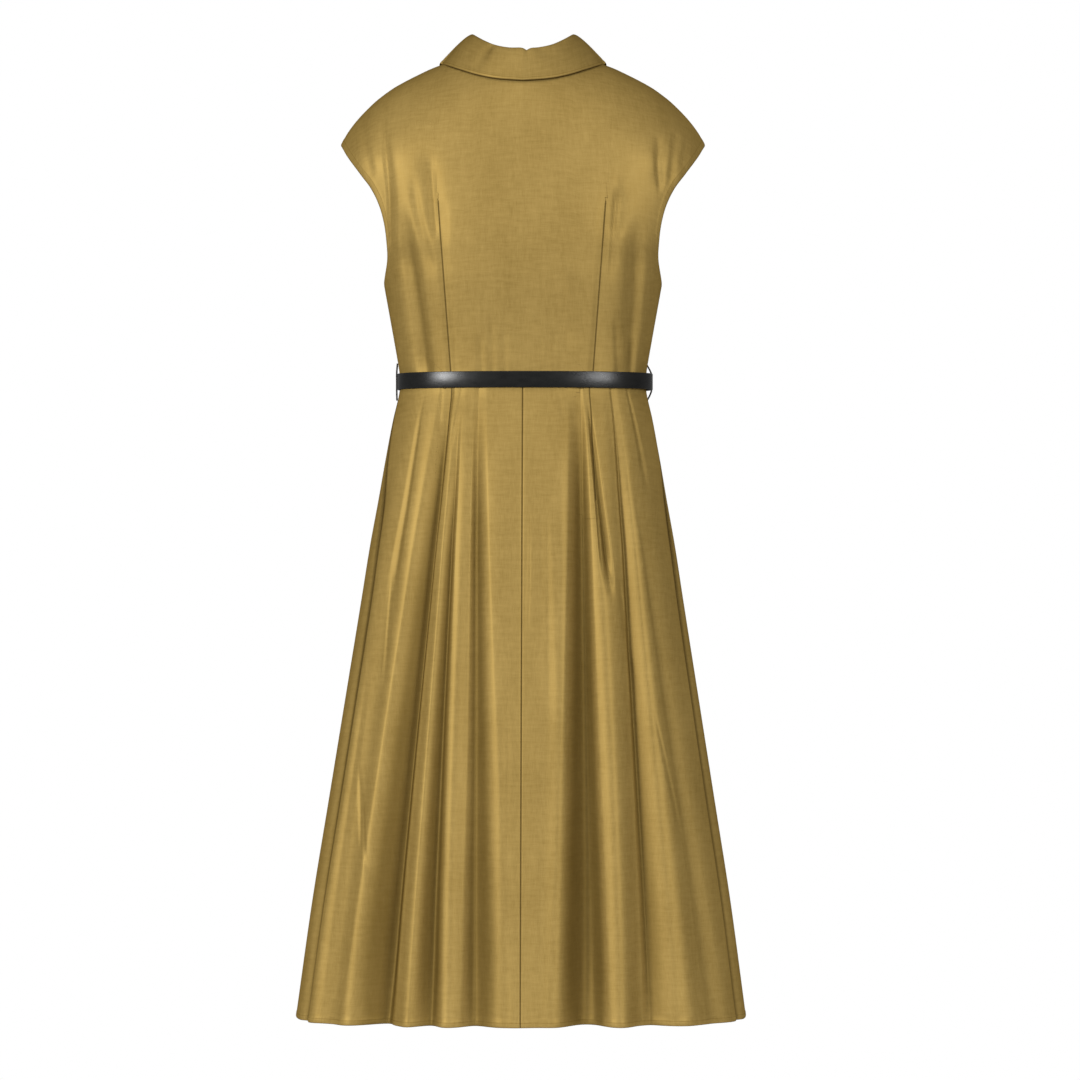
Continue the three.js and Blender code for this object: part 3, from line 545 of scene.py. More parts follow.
def sweep(name, path, profile, side, finish, replaced=(), looped=False, size=None, sharp=40.0):
    """A closed profile carried along a path. Its first number runs along side as far as that is square
    to the path, and its second along the direction square to both. size shrinks it along the way."""
    path = np.asarray(path, float)
    if looped:
        tangent = unit(np.roll(path, -1, 0) - np.roll(path, 1, 0))
    else:
        tangent = unit(np.gradient(path, axis=0))
    side = np.broadcast_to(side, path.shape)
    first = unit(side - tangent * (side * tangent).sum(-1, keepdims=True))
    second = np.cross(tangent, first)
    profile = np.asarray(profile, float)
    wide = np.ones((len(path), 2)) if size is None else np.asarray(size, float)
    section = profile[None] * wide[:, None, :]
    points = path[:, None] + first[:, None] * section[..., :1] + second[:, None] * section[..., 1:]
    rows, columns = points.shape[:2]
    faces = [grid_faces(rows, columns, around=True, looped=looped)]
    if not looped:
        ring = np.arange(columns)
        faces += [np.stack([ring[::-1], ring + (rows - 1) * columns])]
    turn = np.linspace(0, 1, columns)[None, :] + np.zeros((rows, 1))
    run = run_length(path[None], 1)[0][:, None] + np.zeros((1, columns))
    uv = np.stack([turn, run * MM], -1).reshape(-1, 2)
    return piece(name, points.reshape(-1, 3), faces, finish, replaced, {"Cloth": uv}, sharp)


# Bodice
def shoulder_z(x):
    a = np.abs(x)
    return np.where(a < COLLAR_X, (COLLAR_X - a) * NECK_SLOPE, along(SHOULDER, "x", "z", a))


def fold_depth(folds, x, z):
    """Soft troughs from one place to another: a hill across each one's line, faded at its ends."""
    total = np.zeros(np.broadcast(x, z).shape)
    for x1, z1, x2, z2, width, depth in zip(*folds.values()):
        t = (z - z1) / (z2 - z1)
        faded = smooth(t, -0.15, 0.35) * (1 - smooth(t, 0.9, 1.25))
        total += depth * faded * bump((x - blend(x1, x2, t)) / width)
    return total


def crease_depth(creases, x, z, growth=0.0):
    """Troughs shaped like a V with soft shoulders, each along a bowed line and faded at its ends. growth
    is the share of its width and depth that a trough gains on its way."""
    total = np.zeros(np.broadcast(x, z).shape)
    for x1, z1, x2, z2, left, right, depth, bow in zip(*creases.values()):
        t = (z - z1) / (z2 - z1)
        way = np.clip(t, 0, 1)
        size = 1 - growth * (1 - way)
        across = x - blend(x1, x2, way) - bow * np.sin(np.pi * way)
        across = across / (np.where(across < 0, left, right) * size)
        wall = np.clip(1 + CREASE_ROUND - np.hypot(across, CREASE_ROUND), 0, 1) ** CREASE_SHOULDER
        total += depth * size * smooth(t, -0.1, 0.25) * (1 - smooth(t, 0.85, 1.2)) * wall
    return total


def bodice_depth(side, x, z):
    """How far the bodice stands behind or before the seams' plane: a squarish oval in each level
    section, rounded over the shoulder line at the top."""
    square = along(BODICE, "z", "square", z)
    s = np.minimum(np.abs(x) / along(BODICE, "z", "width", z), 1)
    t = np.clip((shoulder_z(x) - z) / SHOULDER_ROUND, 0, 1)
    return along(BODICE, "z", side, z) * (1 - s**square) ** (1 / square) * np.sqrt(1 - (1 - t) ** 2)


def side_edge(row, scoop):
    """The armhole's edge and then the side seam, down the rows."""
    down = np.clip(row / ARMHOLE_ROWS, 0, 1) ** 1.35
    arm_z = blend(ARMHOLE["z"][0], ARMHOLE["z"][-1], down)
    arm_x = along(ARMHOLE, "z", "x", arm_z) - scoop * np.sin(np.pi * down)
    seam = np.clip((row - ARMHOLE_ROWS) / (BODICE_ROWS - ARMHOLE_ROWS), 0, 1)
    seam_z = blend(ARMHOLE["z"][-1], WAIST_Z + HALF_GAP, seam)
    on_arm = row <= ARMHOLE_ROWS
    return np.where(on_arm, arm_x, along(BODICE, "z", "width", seam_z)), np.where(on_arm, arm_z, seam_z)


def top_edge(column, side):
    """The neckline and then the shoulder seam, from the centre to the cap's tip."""
    neck_x = NECK_HALF_WIDTH * np.sin(np.pi / 2 * np.clip(column / NECK_COLUMNS, 0, 1))
    on_seam = np.clip((column - NECK_COLUMNS) / (BODICE_COLUMNS - NECK_COLUMNS), 0, 1)
    seam_x = blend(NECK_HALF_WIDTH, CAP_TIP_X, np.sin(np.pi / 2 * on_seam))
    on_neck = column <= NECK_COLUMNS
    neck_z = along(NECK[side], "x", "z", neck_x)
    return np.where(on_neck, neck_x, seam_x), np.where(on_neck, neck_z, shoulder_z(seam_x))


def bodice_points(side, hand, column, row):
    """The surface between the four edges of one half, seen from behind, and then its depth less its
    folds. It also says which points lie on the seam of front and back."""
    sign = -1 if side == "back" else 1
    u = np.sin(np.pi / 2 * column / BODICE_COLUMNS)
    edge_x, edge_z = side_edge(row, 0 if side == "back" else FRONT_SCOOP)
    top_x, top_z = top_edge(column, side)
    tip_z = shoulder_z(CAP_TIP_X)
    foot = WAIST_Z + HALF_GAP
    down = (tip_z - edge_z) / (tip_z - foot)
    waist_x = BODICE["width"][-1]
    x = (1 - down) * top_x + down * u * waist_x + u * edge_x - u * blend(CAP_TIP_X, waist_x, down)
    z = blend(top_z, foot, down) + u * edge_z - u * blend(tip_z, foot, down)
    depth = np.maximum(bodice_depth(side, x, z), -SEAM_LAP)
    folds, creases = (BODICE_FOLDS, BACK_CREASES) if side == "back" else (BUST_DARTS, FRONT_CREASES)
    creased = crease_depth(creases, hand * x, z)
    inward = (fold_depth(folds, hand * x, z) + creased) * smooth(depth, 2, 30)
    sewn = line_distance(DARTS[side], hand * x, z)
    points = joined(hand * x, sign * (depth - inward), z)
    # the last value is the painted shade: 1 deep in a crease, where the cloth's colour is painted darker
    return points, depth <= 0, sewn, smooth(creased, *BODICE_PAINTED_SHADE)


def bodice():
    row = (BODICE_ROWS * np.linspace(0, 1, 131) ** 1.05)[:, None]
    column = (BODICE_COLUMNS * spread(84, 240.0, ARMHOLE_FOLD))[None, :]
    left = bodice_points("back", -1, column[:, :0:-1], row)
    right = bodice_points("back", 1, column, row)
    points, level, sewn, painted_shade = (np.concatenate(pair, 1) for pair in zip(left, right))
    lines = {"foot": 1, "top": 1}
    cloth_piece(
        "back_bodice", points, -FRONT, grain=column.size - 1,
        seams={**lines, "left": EDGE_SHOWS, "right": EDGE_SHOWS},
        stitched={"left": ARMHOLE_FOLD, "right": ARMHOLE_FOLD}, level=level, sewn=sewn, painted_shade=painted_shade,
    )
    for name, hand in (("left", -1), ("right", 1)):
        points, level, sewn, painted_shade = bodice_points("front", hand, column, row)
        points[:, 0, 0] = hand * HALF_GAP
        cloth_piece(
            f"front_bodice_{name}", points, FRONT, seams={**lines, "right": EDGE_SHOWS},
            stitched={"right": ARMHOLE_FOLD}, level=level, sewn=sewn, painted_shade=painted_shade,
        )


# Skirt
def flute_height(turn, z):
    """Soft bumps and valleys round the skirt that deepen downwards from where each one starts."""
    total = np.zeros(np.broadcast(turn, z).shape)
    for hip, hem, start, width, depth in zip(*FLUTES.values()):
        centre = blend(hip, hem, (z - HIP_Z) / (HEM_Z - HIP_Z))
        grown = np.clip((start - z) / (start - HEM_Z), 0, 1) ** 0.7
        total += depth * grown * bump((turn - centre) / width)
    return total


def ring_points(size, turn, z):
    """A level ring, a squarish oval that may be deeper behind or before, at a turn from the centre back,
    with the direction straight out of it."""
    half, back, front = size
    angle = np.radians(turn)
    power = 2 / RING_SQUARENESS
    deep = np.where(np.cos(angle) > 0, back, front)
    x = half * np.sign(np.sin(angle)) * np.abs(np.sin(angle)) ** power
    y = -deep * np.sign(np.cos(angle)) * np.abs(np.cos(angle)) ** power
    points = joined(x, y, z).astype(float)
    return points, unit(joined(x / half**2, y / deep**2, 0.0 * z))


def side_turn(name, z):
    """The side seam's turn from the centre back, minus on the left."""
    return along(SIDE_SEAM, "z", name, z) * (-1 if name == "left" else 1)


def skirt_points(turn, z):
    """The skirt's surface, the way straight out of it, and its painted shade, deep in creases and along the
    side seams.
    """
    size = [along(SKIRT, "z", part, z) for part in ("half", "back", "front")]
    points, out = ring_points(size, turn, z)
    points[..., 0] += HEM_SWAY * (WAIST_Z - z) / (WAIST_Z - HEM_Z)
    creased = crease_depth(SKIRT_CREASES, turn, z, SKIRT_GROWTH)
    height = flute_height(turn, z) - creased
    for name in ("left", "right"):
        beside = (turn - side_turn(name, z)) / SIDE_GROOVE_WIDTH
        height = height - SIDE_GROOVE * smooth(-z, 400, 520) * bump(beside)
        # a band of painted shade along each side seam's groove
        creased = np.maximum(creased, SKIRT_PAINTED_SHADE[1] * bump(beside * SIDE_GROOVE_WIDTH / SIDE_SHADE_WIDTH))
    return points + out * height[..., None], out, smooth(creased, *SKIRT_PAINTED_SHADE)


def skirt_panel(part, name, grain, seams):
    """A panel from the centre back to the side seam, or from there to the centre front, its two long
    edges drawn in by half the seam's gap."""
    share = spread(150, 800.0, HEM_FOLD)[:, None]
    level = blend(WAIST_Z - HALF_GAP, HEM_Z, share)
    side = side_turn(name, level)
    start, end = (0 * level, side) if part == "back" else (side, 180 * np.sign(side))
    turn = blend(start, end, spread(190, 260.0)[None, :])
    lift = HEM_LIFT * np.maximum(np.cos(np.radians(turn)), 0) ** 2
    points, out, painted_shade = skirt_points(turn, level + lift * share)
    for edge, inside in ((0, 1), (-1, -2)):
        points[:, edge] -= unit(points[:, inside] - points[:, edge]) * SEAM_LAP
    degree = np.radians(1) * along(SKIRT, "z", "half", level)
    sewn = line_distance(DARTS["skirt"], turn, level, degree)
    cloth_piece(
        f"skirt_{part}_{name}", points, out, grain=grain,
        seams={**seams, "top": 1, "foot": EDGE_SHOWS}, stitched={"foot": HEM_FOLD}, sewn=sewn, painted_shade=painted_shade,
    )


def skirt():
    for name in ("left", "right"):
        skirt_panel("back", name, 0, {"left": 1, "right": SIDE_SHOWS})
        skirt_panel("front", name, -1, {"left": SIDE_SHOWS})


# Button band and buttons
def front_points(x, z):
    """The front surface near the centre, above the waist or below it."""
    if z.max() > WAIST_Z:
        folds = fold_depth(BUST_DARTS, x, z) + crease_depth(FRONT_CREASES, x, z)
        return joined(x, bodice_depth("front", x, z) - folds, z)
    lean = np.degrees(np.arcsin((np.abs(x) / along(SKIRT, "z", "half", z)) ** (RING_SQUARENESS / 2)))
    return skirt_points(np.where(x < 0, lean - 180, 180 - lean), z)[0]


def band_points(x, z, out):
    points = front_points(x, z)
    return points + grid_normals(points, FRONT) * out


def bands():
    x = blend(-BAND_HALF_WIDTH, BAND_HALF_WIDTH, spread(14, 2 * BAND_HALF_WIDTH))[None, :]
    spans = {
        "button_band_bodice": (NECK["front"]["z"][0] - 1, WAIST_Z + HALF_GAP, 90),
        "button_band_skirt": (WAIST_Z - HALF_GAP, HEM_Z + 1, 170),
    }
    for name, (top, foot, rows) in spans.items():
        z = blend(top, foot, spread(rows, top - foot))[:, None]
        edges = {"left": BAND_STITCH, "right": BAND_STITCH}
        cloth_piece(name, band_points(x, z, BAND_OUT), FRONT, stitched=edges)


def buttons():
    """Turned discs with a raised rim, a dished middle, four holes and the thread through them."""
    profile = np.array(BUTTON_PROFILE, float)
    rings, sides = 57, 40
    ring = np.linspace(0, len(profile) - 1, rings)[:, None]
    radius = np.maximum(np.interp(ring, np.arange(len(profile)), profile[:, 0]), 0.02)
    height = np.interp(ring, np.arange(len(profile)), profile[:, 1])
    x, y = radius * circle(sides).T[:, None]
    for side_x, side_y in ((1, 1), (1, -1), (-1, 1), (-1, -1)):
        away = np.hypot(x - side_x * BUTTON_HOLE, y - side_y * BUTTON_HOLE)
        height = height - (ring > 3) * BUTTON_HOLE_DEPTH * bump(away / BUTTON_HOLE_WIDTH)
    disc = joined(x, y, height).reshape(-1, 3)
    ends = np.stack([np.arange(sides)[::-1], np.arange(sides) + (rings - 1) * sides])
    faces = [grid_faces(rings, sides, around=True), ends]
    run = np.linspace(-1, 1, 9)[:, None]
    for number, z in enumerate(BUTTON_HEIGHTS, 1):
        heights = z + np.array([5.0, 0.0, -5.0])[:, None]
        line = band_points(np.array([[-1.0, 0.0, 1.0]]), heights, BAND_OUT + GAP + 0.1)[:, 1]
        rise = unit(line[0] - line[2])
        basis = np.array([[1, 0, 0], rise, np.cross(rise, [1, 0, 0])]) * np.array([[1], [1], [-1]])
        basis[2] *= np.sign(basis[2, 1])
        name = f"button_{number}"
        piece(f"{name}_disc", line[1] + disc @ basis, faces, BUTTON, [name])
        for hand, side_x in (("left", -BUTTON_HOLE), ("right", BUTTON_HOLE)):
            bar = np.concatenate([0 * run + side_x, run * BUTTON_HOLE, BUTTON_DISH + 0.4 * (1 - run**2)], 1)
            path = line[1] + bar @ basis
            wire = BUTTON_THREAD * circle(8)
            sweep(f"{name}_thread_{hand}", path, wire, basis[0], THREAD)


# Collar
def neck_points(turn):
    """The neckline all round, by its turn from the centre back."""
    angle = np.radians(turn)
    x = NECK_HALF_WIDTH * np.abs(np.sin(angle))
    parts = {}
    for side, sign in (("back", -1), ("front", 1)):
        z = along(NECK[side], "x", "z", x)
        parts[side] = joined(x * np.sign(np.sin(angle)), sign * bodice_depth(side, x, z), z)
    return np.where(np.cos(angle)[..., None] > 0, parts["back"], parts["front"])


def outwards(turn):
    angle = np.radians(turn)
    return joined(np.sin(angle), -np.cos(angle), 0 * angle)


def stand_points(turn, share, extra):
    """The stand rises from the neckline and leans in, more at the sides, with a notch near the centre
    back."""
    angle = np.radians(turn)
    height = STAND_HEIGHT + STAND_EXTRA * np.cos(2 * angle)
    lean = 0.14 + 0.2 * np.sin(angle) ** 2
    up = unit(UP - outwards(turn) * lean[..., None])
    rise = up * (GAP + share * (height - NOTCH * bump((turn - NOTCH_TURN) / NOTCH_WIDTH)))[..., None]
    return neck_points(turn) + rise + outwards(turn) * np.asarray(extra + 0 * turn)[..., None]


def fall_points(turn, share):
    """The fall rolls over the top of the stand and comes down to the collar's edge, with a dent on the
    left and a shallow one beside the notch."""
    around = np.abs(turn)
    x = along(COLLAR_EDGE, "turn", "x", around)
    z = along(COLLAR_EDGE, "turn", "z", around)
    clear = along(COLLAR_EDGE, "turn", "clear", around)
    back = around < 90
    deep = np.where(back, -bodice_depth("back", x, z) - clear, bodice_depth("front", x, z) + clear)
    edge = joined(np.where(turn < 0, -x, x), deep, z)
    over = LAP_OUT * smooth(around, 135, 165) - SOLID_COLLAR / 2
    top = 1 + 0 * turn
    root = stand_points(turn, top, over)
    brim = unit(stand_points(turn + 1, top, over) - stand_points(turn - 1, top, over))
    up = unit(UP - brim * brim[..., 2:])
    root = root + up * (SOLID_COLLAR + GAP + 0.2)
    roll = root + outwards(turn) * ROLL_OUT + UP * ROLL_UP
    g, s = (1 - share)[..., None], share[..., None]
    pushed = DENT * collar_dent(turn, share)
    pushed += 0.5 * DENT * bump((turn - 12 - 20 * share) / 9) * bump((share - 0.4) / 0.3)
    return root * g * g + roll * 2 * g * s + edge * s * s - outwards(turn) * pushed[..., None]


def collar_dent(turn, share):
    """1 at the middle of the slanting dent on the left."""
    return bump((turn - DENT_TURN + 12 * (share - 0.4)) / DENT_WIDTH) * bump((share - 0.5) / 0.3)


def collar():
    turn, share = np.meshgrid(blend(-180, 195, spread(150, 420.0)), spread(20, 30.0))
    extra = LAP_OUT * smooth(turn, 150, 178)
    around = np.where(turn > 180, turn - 360, turn)
    points = stand_points(around, share, extra)
    middle = points.shape[1] // 2
    edges = {"top": STAND_STITCH}
    cloth_piece("collar_stand", points, outwards(around), COLLAR_CLOTH, grain=middle, stitched=edges)
    turn, share = np.meshgrid(blend(-FALL_END, FALL_END, spread(220, 480.0)), spread(44, 65.0))
    points = fall_points(turn, share)
    edges = {"foot": COLLAR_STITCH, "left": COLLAR_STITCH, "right": COLLAR_STITCH}
    middle = points.shape[1] // 2
    # the fall's colour is painted darker all over, and painted shade darkens its dent more
    cloth_piece(
        "collar_fall", points, outwards(turn), COLLAR_CLOTH, grain=middle, seams={"foot": 0.9},
        stitched=edges, painted_shade=COLLAR_TONE + 0.35 * collar_dent(turn, share),
    )


# Belt
def belt_ring(turn, out, z=WAIST_Z):
    points, away = ring_points(BELT_SIZE, np.asarray(turn, float), np.asarray(z, float))
    points = points + away * np.asarray(out, float)[..., None]
    points[..., 0] += BELT_SHIFT
    return points


def belt_place(x, out):
    """A place on the strap's run across the front, out from its inner face."""
    lean = np.degrees(np.arcsin((np.abs(x - BELT_SHIFT) / BELT_SIZE[0]) ** (RING_SQUARENESS / 2)))
    return belt_ring((180 - lean) * (-1 if x < BELT_SHIFT else 1), out)


def belt():
    """The strap starts folded round the buckle's bar, goes all round the waist, passes under the
    buckle's far bar, climbs over the fold and lies on itself through the keeper."""
    middle = BELT_THICK / 2
    lying = BELT_THICK + GAP + middle
    bar_out = BELT_THICK + GAP + BUCKLE_WIRE / 2
    fold_radius = BUCKLE_WIRE * np.sqrt(0.5) + GAP + middle
    over_fold = bar_out + fold_radius + BELT_THICK + GAP
    path = [belt_place(BUCKLE_HALF_WIDTH + 9, lying + 0.1)]
    for angle in np.radians(np.arange(60, 271, 30)):
        reach = BUCKLE_HALF_WIDTH + fold_radius * np.cos(angle)
        path.append(belt_place(reach, bar_out + fold_radius * np.sin(angle)))
    path += list(belt_ring(np.arange(168, -169, -6), middle))
    path.append(belt_place(-BUCKLE_HALF_WIDTH + 2.5, middle))
    path.append(belt_place(BUCKLE_HALF_WIDTH - 6, over_fold))
    path.append(belt_place(BUCKLE_HALF_WIDTH + 3, over_fold))
    path.append(belt_place(BUCKLE_HALF_WIDTH + 10, lying + BELT_THICK + GAP + 0.3))
    path += [belt_place(x, lying + 0.1) for x in STRAP_END]
    line = smooth_path(path, 1.6)
    run = run_length(line[None], 1)[0]
    tip = np.clip((run - run[-1] + 14) / 14, 0, 1)
    size = np.stack([1 - 0.5 * tip**4, 1 - 0.9 * tip**2.2], -1)
    section = rounded_rectangle(BELT_THICK / 2, BELT_HEIGHT / 2, 0.55)
    out = np.cross(UP, unit(np.gradient(line, axis=0)))
    sweep("belt_strap_leather", line, section, out, LEATHER, ["belt_strap"], size=size)
    buckle(bar_out, over_fold, lying)


def buckle(bar_out, over_fold, lying):
    half_height = BELT_HEIGHT / 2 + 0.6 + BUCKLE_WIRE / 2
    loop = rounded_rectangle(BUCKLE_HALF_WIDTH, half_height, 3.0, 6)
    seat = belt_place(0, bar_out)
    path = joined(loop[:, 0], seat[1], loop[:, 1] + WAIST_Z)
    wire = BUCKLE_WIRE / 2 * circle(16)
    sweep("buckle_frame_wire", path, wire, FRONT, BRASS, ["buckle_frame"], looped=True)
    on_bar = bar_out + BUCKLE_WIRE / 2 + GAP + PRONG_THICK / 2
    on_strap = over_fold + BELT_THICK / 2 + GAP + PRONG_THICK / 2 + 0.2
    route = [
        (10, on_strap), (6, on_strap - 0.2), (-11, on_bar + 0.5),
        (-15, on_bar + 0.2), (-17.4, on_bar + 0.2),
    ]
    path = smooth_path([belt_place(x, out) for x, out in route], 0.8)
    share = np.linspace(0, 1, len(path))
    size = np.stack([1 - 0.35 * share**3, 1 - 0.45 * share**2], -1)
    section = rounded_rectangle(PRONG_THICK / 2, 1.45, 0.7)
    sweep("buckle_prong_bar", path, section, FRONT, BRASS, ["buckle_prong"], size=size)
    inside, outside = -GAP, lying + BELT_THICK / 2 + GAP + 0.2
    deep = (outside - inside + KEEPER_THICK) / 2
    tall = BELT_HEIGHT / 2 + 0.5 + KEEPER_THICK / 2
    run = unit(belt_place(KEEPER_X + 1, 0) - belt_place(KEEPER_X - 1, 0))
    out = np.array([-run[1], run[0], 0])
    loop = rounded_rectangle(deep, tall, 1.4, 6)
    path = belt_place(KEEPER_X, (outside + inside) / 2) + loop[:, :1] * out + loop[:, 1:] * UP
    band = rounded_rectangle(KEEPER_WIDTH / 2, KEEPER_THICK / 2, 0.3)
    sweep("belt_keeper_leather", path, band, run, LEATHER, ["belt_keeper"], looped=True)


def belt_loops():
    """Two strands of thread twisted round each other, from the bodice over the strap to the skirt."""
    radius = LOOP_WIRE / 2
    for name, turn in LOOP_TURNS.items():
        out = ring_points(BELT_SIZE, np.array(turn), np.array(0.0))[1]

        def on_cloth(z):
            rows, half = (BODICE, "width") if z > WAIST_Z else (SKIRT, "half")
            size = [along(rows, "z", half, z)] + [along(rows, "z", "front", z)] * 2
            return ring_points(size, np.array(turn), np.array(z))[0] + out * (GAP + radius + LOOP_EASE)

        heights = WAIST_Z + np.array([LOOP_STRAIGHT, 0.0, -LOOP_STRAIGHT])
        strap = [belt_ring(turn, BELT_THICK + GAP + radius, z) for z in heights]
        middle = smooth_path([on_cloth(WAIST_Z + LOOP_REACH), *strap, on_cloth(WAIST_Z - LOOP_REACH)], 0.5)
        run = run_length(middle[None], 1)[0]
        for strand, phase in (("a", 0.0), ("b", np.pi)):
            twist = 2 * np.pi * run / STRAND_PITCH + phase
            beside = np.cross(out, UP)
            away = np.cos(twist)[:, None] * out + np.sin(twist)[:, None] * beside
            replaced = [f"belt_loop_{name}"] if strand == "a" else ()
            label = f"belt_loop_{name}_strand_{strand}"
            wire = STRAND_RADIUS * circle(8)
            sweep(label, middle + STRAND_OFFSET * away, wire, out, THREAD, replaced)


# Materials
class Value:
    """A socket that gives a number, with the arithmetic that a formula needs."""

    def __init__(self, finish, socket):
        self.finish = finish
        self.socket = socket

    def math(self, operation, *others):
        return self.finish.node("ShaderNodeMath", {"operation": operation}, dict(enumerate([self, *others])))

    def part(self, number):
        return Value(self.finish, self.socket.node.outputs[number])

    def __add__(self, other):
        return self.math("ADD", other)

    __radd__ = __add__

    def __mul__(self, other):
        return self.math("MULTIPLY", other)

    def __sub__(self, other):
        return self.math("SUBTRACT", other)

    def __rsub__(self, other):
        return (self * -1.0) + other


class Finish:
    """A material's nodes: numbers through Value, and every node through one method."""

    def __init__(self, name):
        self.material = bpy.data.materials.new(name)
        self.material.use_nodes = True
        self.tree = self.material.node_tree
        self.tree.nodes.clear()

    def node(self, kind, settings, inputs, out=0):
        made = self.tree.nodes.new(kind)
        for key, value in settings.items():
            setattr(made, key, value)
        for key, value in inputs.items():
            if isinstance(value, Value):
                self.tree.links.new(value.socket, made.inputs[key])
            else:
                made.inputs[key].default_value = value
        return Value(self, made.outputs[out])

    def object_place(self):
        return self.node("ShaderNodeTexCoord", {}, {}, out=3)

    def noise(self, place, scale, **inputs):
        """Noise from 0 to 1 on a place stretched by a scale for each axis."""
        spot = self.node("ShaderNodeMapping", {}, {"Vector": place, "Scale": scale})
        return self.node("ShaderNodeTexNoise", {}, {"Vector": spot, "Scale": 1.0, "Detail": 2.0, **inputs})

    def map_parts(self, name):
        """The first number of a map, from which part() gives the others."""
        spot = self.node("ShaderNodeUVMap", {"uv_map": name}, {})
        return self.node("ShaderNodeSeparateXYZ", {}, {"Vector": spot})

    def groove(self, distance, width):
        """1 on a line, falling straight to 0 at a width from it."""
        return (1.0 - distance.math("ABSOLUTE") * (1 / width)).math("MAXIMUM", 0.0)

    def tint(self, share, first, second):
        return self.node("ShaderNodeMix", {"data_type": "RGBA"}, {0: share, 6: first, 7: second}, out=2)

    def relief(self, height, strength, distance):
        inputs = {"Height": height, "Strength": strength, "Distance": distance}
        return self.node("ShaderNodeBump", {}, inputs)

    def done(self, **inputs):
        named = {key.replace("_", " "): value for key, value in inputs.items()}
        shader = self.node("ShaderNodeBsdfPrincipled", {}, named)
        output = self.tree.nodes.new("ShaderNodeOutputMaterial")
        self.tree.links.new(shader.socket, output.inputs["Surface"])
        return self.material


# The line of stitches: its half width, the length of a stitch and its gap, and the stitch's share of it,
# and then a dart's or a seam's half width, all in metres
STITCH_LINE = 0.0007
STITCH_PITCH = 0.0028
STITCH_SHARE = 0.66
DART_LINE = 0.0014


def satin():
    """Slubbed satin: fine uneven threads both ways, a soft cloud of tone, lines of stitches and seams where
    their maps say, and painted shade that darkens its colour in creases."""
    cloth = Finish("dress_satin")
    place = cloth.node("ShaderNodeUVMap", {"uv_map": "Cloth"}, {})
    warp = cloth.noise(place, (900.0, 90.0, 1.0))
    weft = cloth.noise(place, (90.0, 900.0, 1.0))
    slub = cloth.noise(place, (210.0, 32.0, 1.0), Detail=1.0)
    pick = cloth.noise(place, (38.0, 230.0, 1.0), Detail=1.0)
    cloud = cloth.noise(place, (14.0, 9.0, 1.0))
    threads = warp * 0.3 + weft * 0.25 + slub * 0.2 + pick * 0.25
    stitch, seam = cloth.map_parts("Stitch"), cloth.map_parts("Seam")
    line = cloth.groove(stitch.part(1), STITCH_LINE)
    dash = (stitch * (1 / STITCH_PITCH)).math("FRACT").math("LESS_THAN", STITCH_SHARE)
    dart = cloth.groove(seam.part(1), DART_LINE)
    tone = (threads - 0.5) * 1.3 + (cloud - 0.5) * 0.45 + 0.5 - line * 0.35
    colour = cloth.tint(tone, (0.25, 0.163, 0.043, 1), (0.50, 0.35, 0.122, 1))
    # painted shade: the map's first number darkens the colour deep in creases, along the side seams' grooves
    # and in the collar's dent, and the whole collar fall a little
    colour = cloth.tint(seam * 0.56, colour, (0.085, 0.052, 0.009, 1))
    colour = cloth.tint(dart * 0.9, colour, (0.05, 0.03, 0.008, 1))
    rough = 0.52 + (threads - 0.5) * 0.3 + line * 0.1 + dart * 0.2
    height = threads * 0.5 - line + line * dash * 1.4 - dart * 1.5
    bumps = cloth.relief(height, 0.32, 0.0004)
    return cloth.done(
        Base_Color=colour, Roughness=rough, Normal=bumps, Metallic=0.28,
        Specular_IOR_Level=0.08, Specular_Tint=(0.45, 0.34, 0.14, 1),
        Coat_Weight=1.0, Coat_Roughness=1.0, Coat_IOR=1.03, Coat_Tint=(0.88, 0.865, 0.8, 1),
    )


def leather():
    """Smooth black calf: a fine pebble, faint wrinkles along the strap and a little wax."""
    hide = Finish("belt_calf")
    place = hide.object_place()
    pebble = hide.noise(place, (1500.0, 1500.0, 1500.0))
    cloud = hide.noise(place, (60.0, 60.0, 160.0))
    colour = hide.tint(cloud, (0.004, 0.004, 0.004, 1), (0.012, 0.012, 0.011, 1))
    rough = 0.24 + cloud * 0.08
    bumps = hide.relief(pebble + cloud * 2.0, 0.15, 0.0003)
    return hide.done(Base_Color=colour, Roughness=rough, Normal=bumps, Specular_IOR_Level=0.3)


def brass():
    """Softly brushed pale brass, a little darker in its cloudy film."""
    metal = Finish("buckle_brass")
    place = metal.object_place()
    brushed = metal.noise(place, (200.0, 2500.0, 2500.0))
    film = metal.noise(place, (90.0, 90.0, 90.0))
    colour = metal.tint(film, (0.56, 0.40, 0.17, 1), (0.80, 0.61, 0.30, 1))
    bumps = metal.relief(brushed, 0.12, 0.0002)
    return metal.done(Base_Color=colour, Roughness=0.2 + brushed * 0.14, Normal=bumps, Metallic=1.0)


def horn():
    """Pressed button plastic in the cloth's colour, with darker swirls."""
    plastic = Finish("button_horn")
    place = plastic.object_place()
    swirl = plastic.noise(place, (260.0, 260.0, 130.0), Distortion=1.5)
    colour = plastic.tint(swirl, (0.075, 0.05, 0.018, 1), (0.26, 0.18, 0.07, 1))
    return plastic.done(Base_Color=colour, Roughness=0.22 + swirl * 0.1, Coat_Weight=0.3, Coat_Roughness=0.15)


def thread():
    """Dark sewing thread with a fine twist."""
    yarn = Finish("loop_thread")
    place = yarn.object_place()
    fuzz = yarn.noise(place, (2500.0, 2500.0, 900.0))
    colour = yarn.tint(fuzz, (0.006, 0.005, 0.003, 1), (0.02, 0.016, 0.009, 1))
    return yarn.done(Base_Color=colour, Roughness=0.7 + fuzz * 0.2, Normal=yarn.relief(fuzz, 0.4, 0.0003))


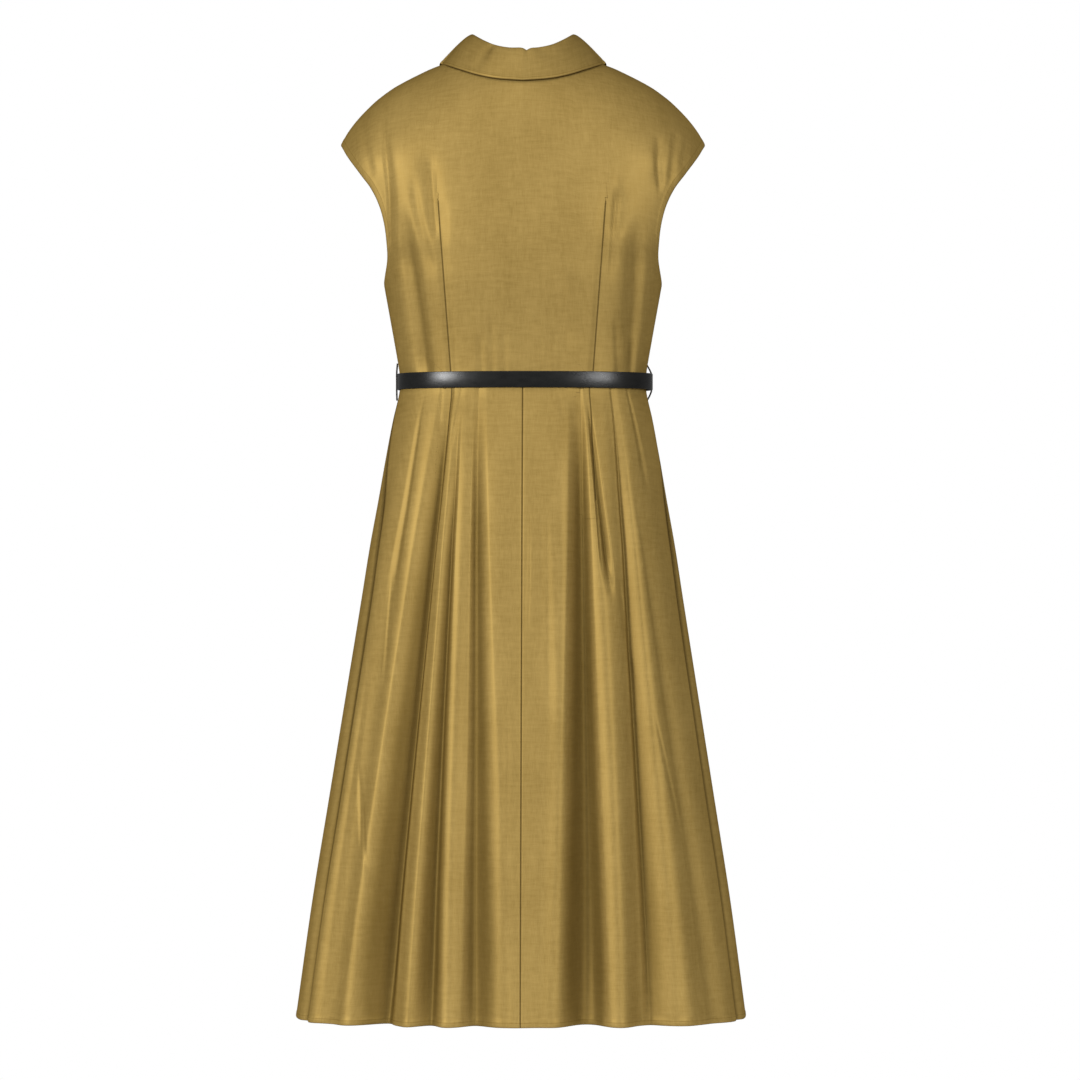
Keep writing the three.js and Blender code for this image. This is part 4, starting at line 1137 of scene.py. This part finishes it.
def floor_paint():
    paint = Finish("floor_paint")
    place = paint.object_place()
    speck = paint.noise(place, (6.0, 6.0, 6.0))
    colour = paint.tint(speck, (0.80, 0.80, 0.79, 1), (0.84, 0.84, 0.83, 1))
    return paint.done(Base_Color=colour, Roughness=0.7)


# Studio
CAMERA_PLACE = (0.02125, -4.5, -0.5925)
CAMERA_LENS = 120.0
FLOOR_Z = -1.43
FLOOR_RADIUS = 1.0
ROOM_LIGHT = 0.22
AIM = np.array([0, 0, -0.5])

# Each lamp's place and width in metres, and its power in watts
LAMPS = {
    "back_left_box": ((-3.6, -3.9, 0.5), 1.2, 228.0),
    "back_right_box": ((3.3, -4.3, 0.4), 1.6, 140.0),
    "front_left_box": ((-2.6, 3.6, 0.6), 1.3, 98.0),
    "front_right_box": ((2.8, 3.5, 0.6), 1.3, 130.0),
    "top_box": ((0.0, -2.0, 2.8), 1.8, 26.0),
}


def studio():
    """The camera behind the dress, a pale floor under it, a white room and soft lights all round."""
    view = bpy.data.cameras.new("photo_view")
    view.lens = CAMERA_LENS
    view.sensor_width = 36.0
    camera = show("photo_view", view)
    camera.location = CAMERA_PLACE
    camera.rotation_euler = (np.pi / 2, 0, 0)
    bpy.context.scene.camera = camera
    ring = FLOOR_RADIUS * circle(96)
    mesh = bpy.data.meshes.new("floor")
    mesh.from_pydata(joined(*ring.T, FLOOR_Z).tolist(), [], [list(range(len(ring)))])
    mesh.materials.append(floor_paint())
    show("floor", mesh)
    for name, (place, size, power) in LAMPS.items():
        lamp = bpy.data.lights.new(name, "AREA")
        lamp.size = size
        lamp.energy = power
        made = show(name, lamp)
        made.location = place
        made.visible_glossy = place[1] < 0  # the front lamps leave no glint on the belt's far ends
        aim = AIM - np.array(place)
        flat = np.hypot(aim[0], aim[1])
        made.rotation_euler = (np.arctan2(flat, -aim[2]), 0, np.arctan2(-aim[0], aim[1]))
    world = bpy.data.worlds.new("white_room")
    world.use_nodes = True
    nodes, links = world.node_tree.nodes, world.node_tree.links
    nodes.clear()
    path = nodes.new("ShaderNodeLightPath")
    mix = nodes.new("ShaderNodeMixShader")
    output = nodes.new("ShaderNodeOutputWorld")
    links.new(path.outputs["Is Camera Ray"], mix.inputs[0])
    for slot, strength in ((1, ROOM_LIGHT), (2, 1.0)):
        room = nodes.new("ShaderNodeBackground")
        room.inputs["Color"].default_value = (1, 1, 1, 1)
        room.inputs["Strength"].default_value = strength
        links.new(room.outputs[0], mix.inputs[slot])
    links.new(mix.outputs[0], output.inputs["Surface"])
    bpy.context.scene.world = world
    bpy.context.scene.view_settings.view_transform = "Standard"


DRESS_CLOTH = satin()
LEATHER = leather()
BRASS = brass()
BUTTON = horn()
THREAD = thread()

studio()
bodice()
skirt()
bands()
buttons()
collar()
belt()
belt_loops()
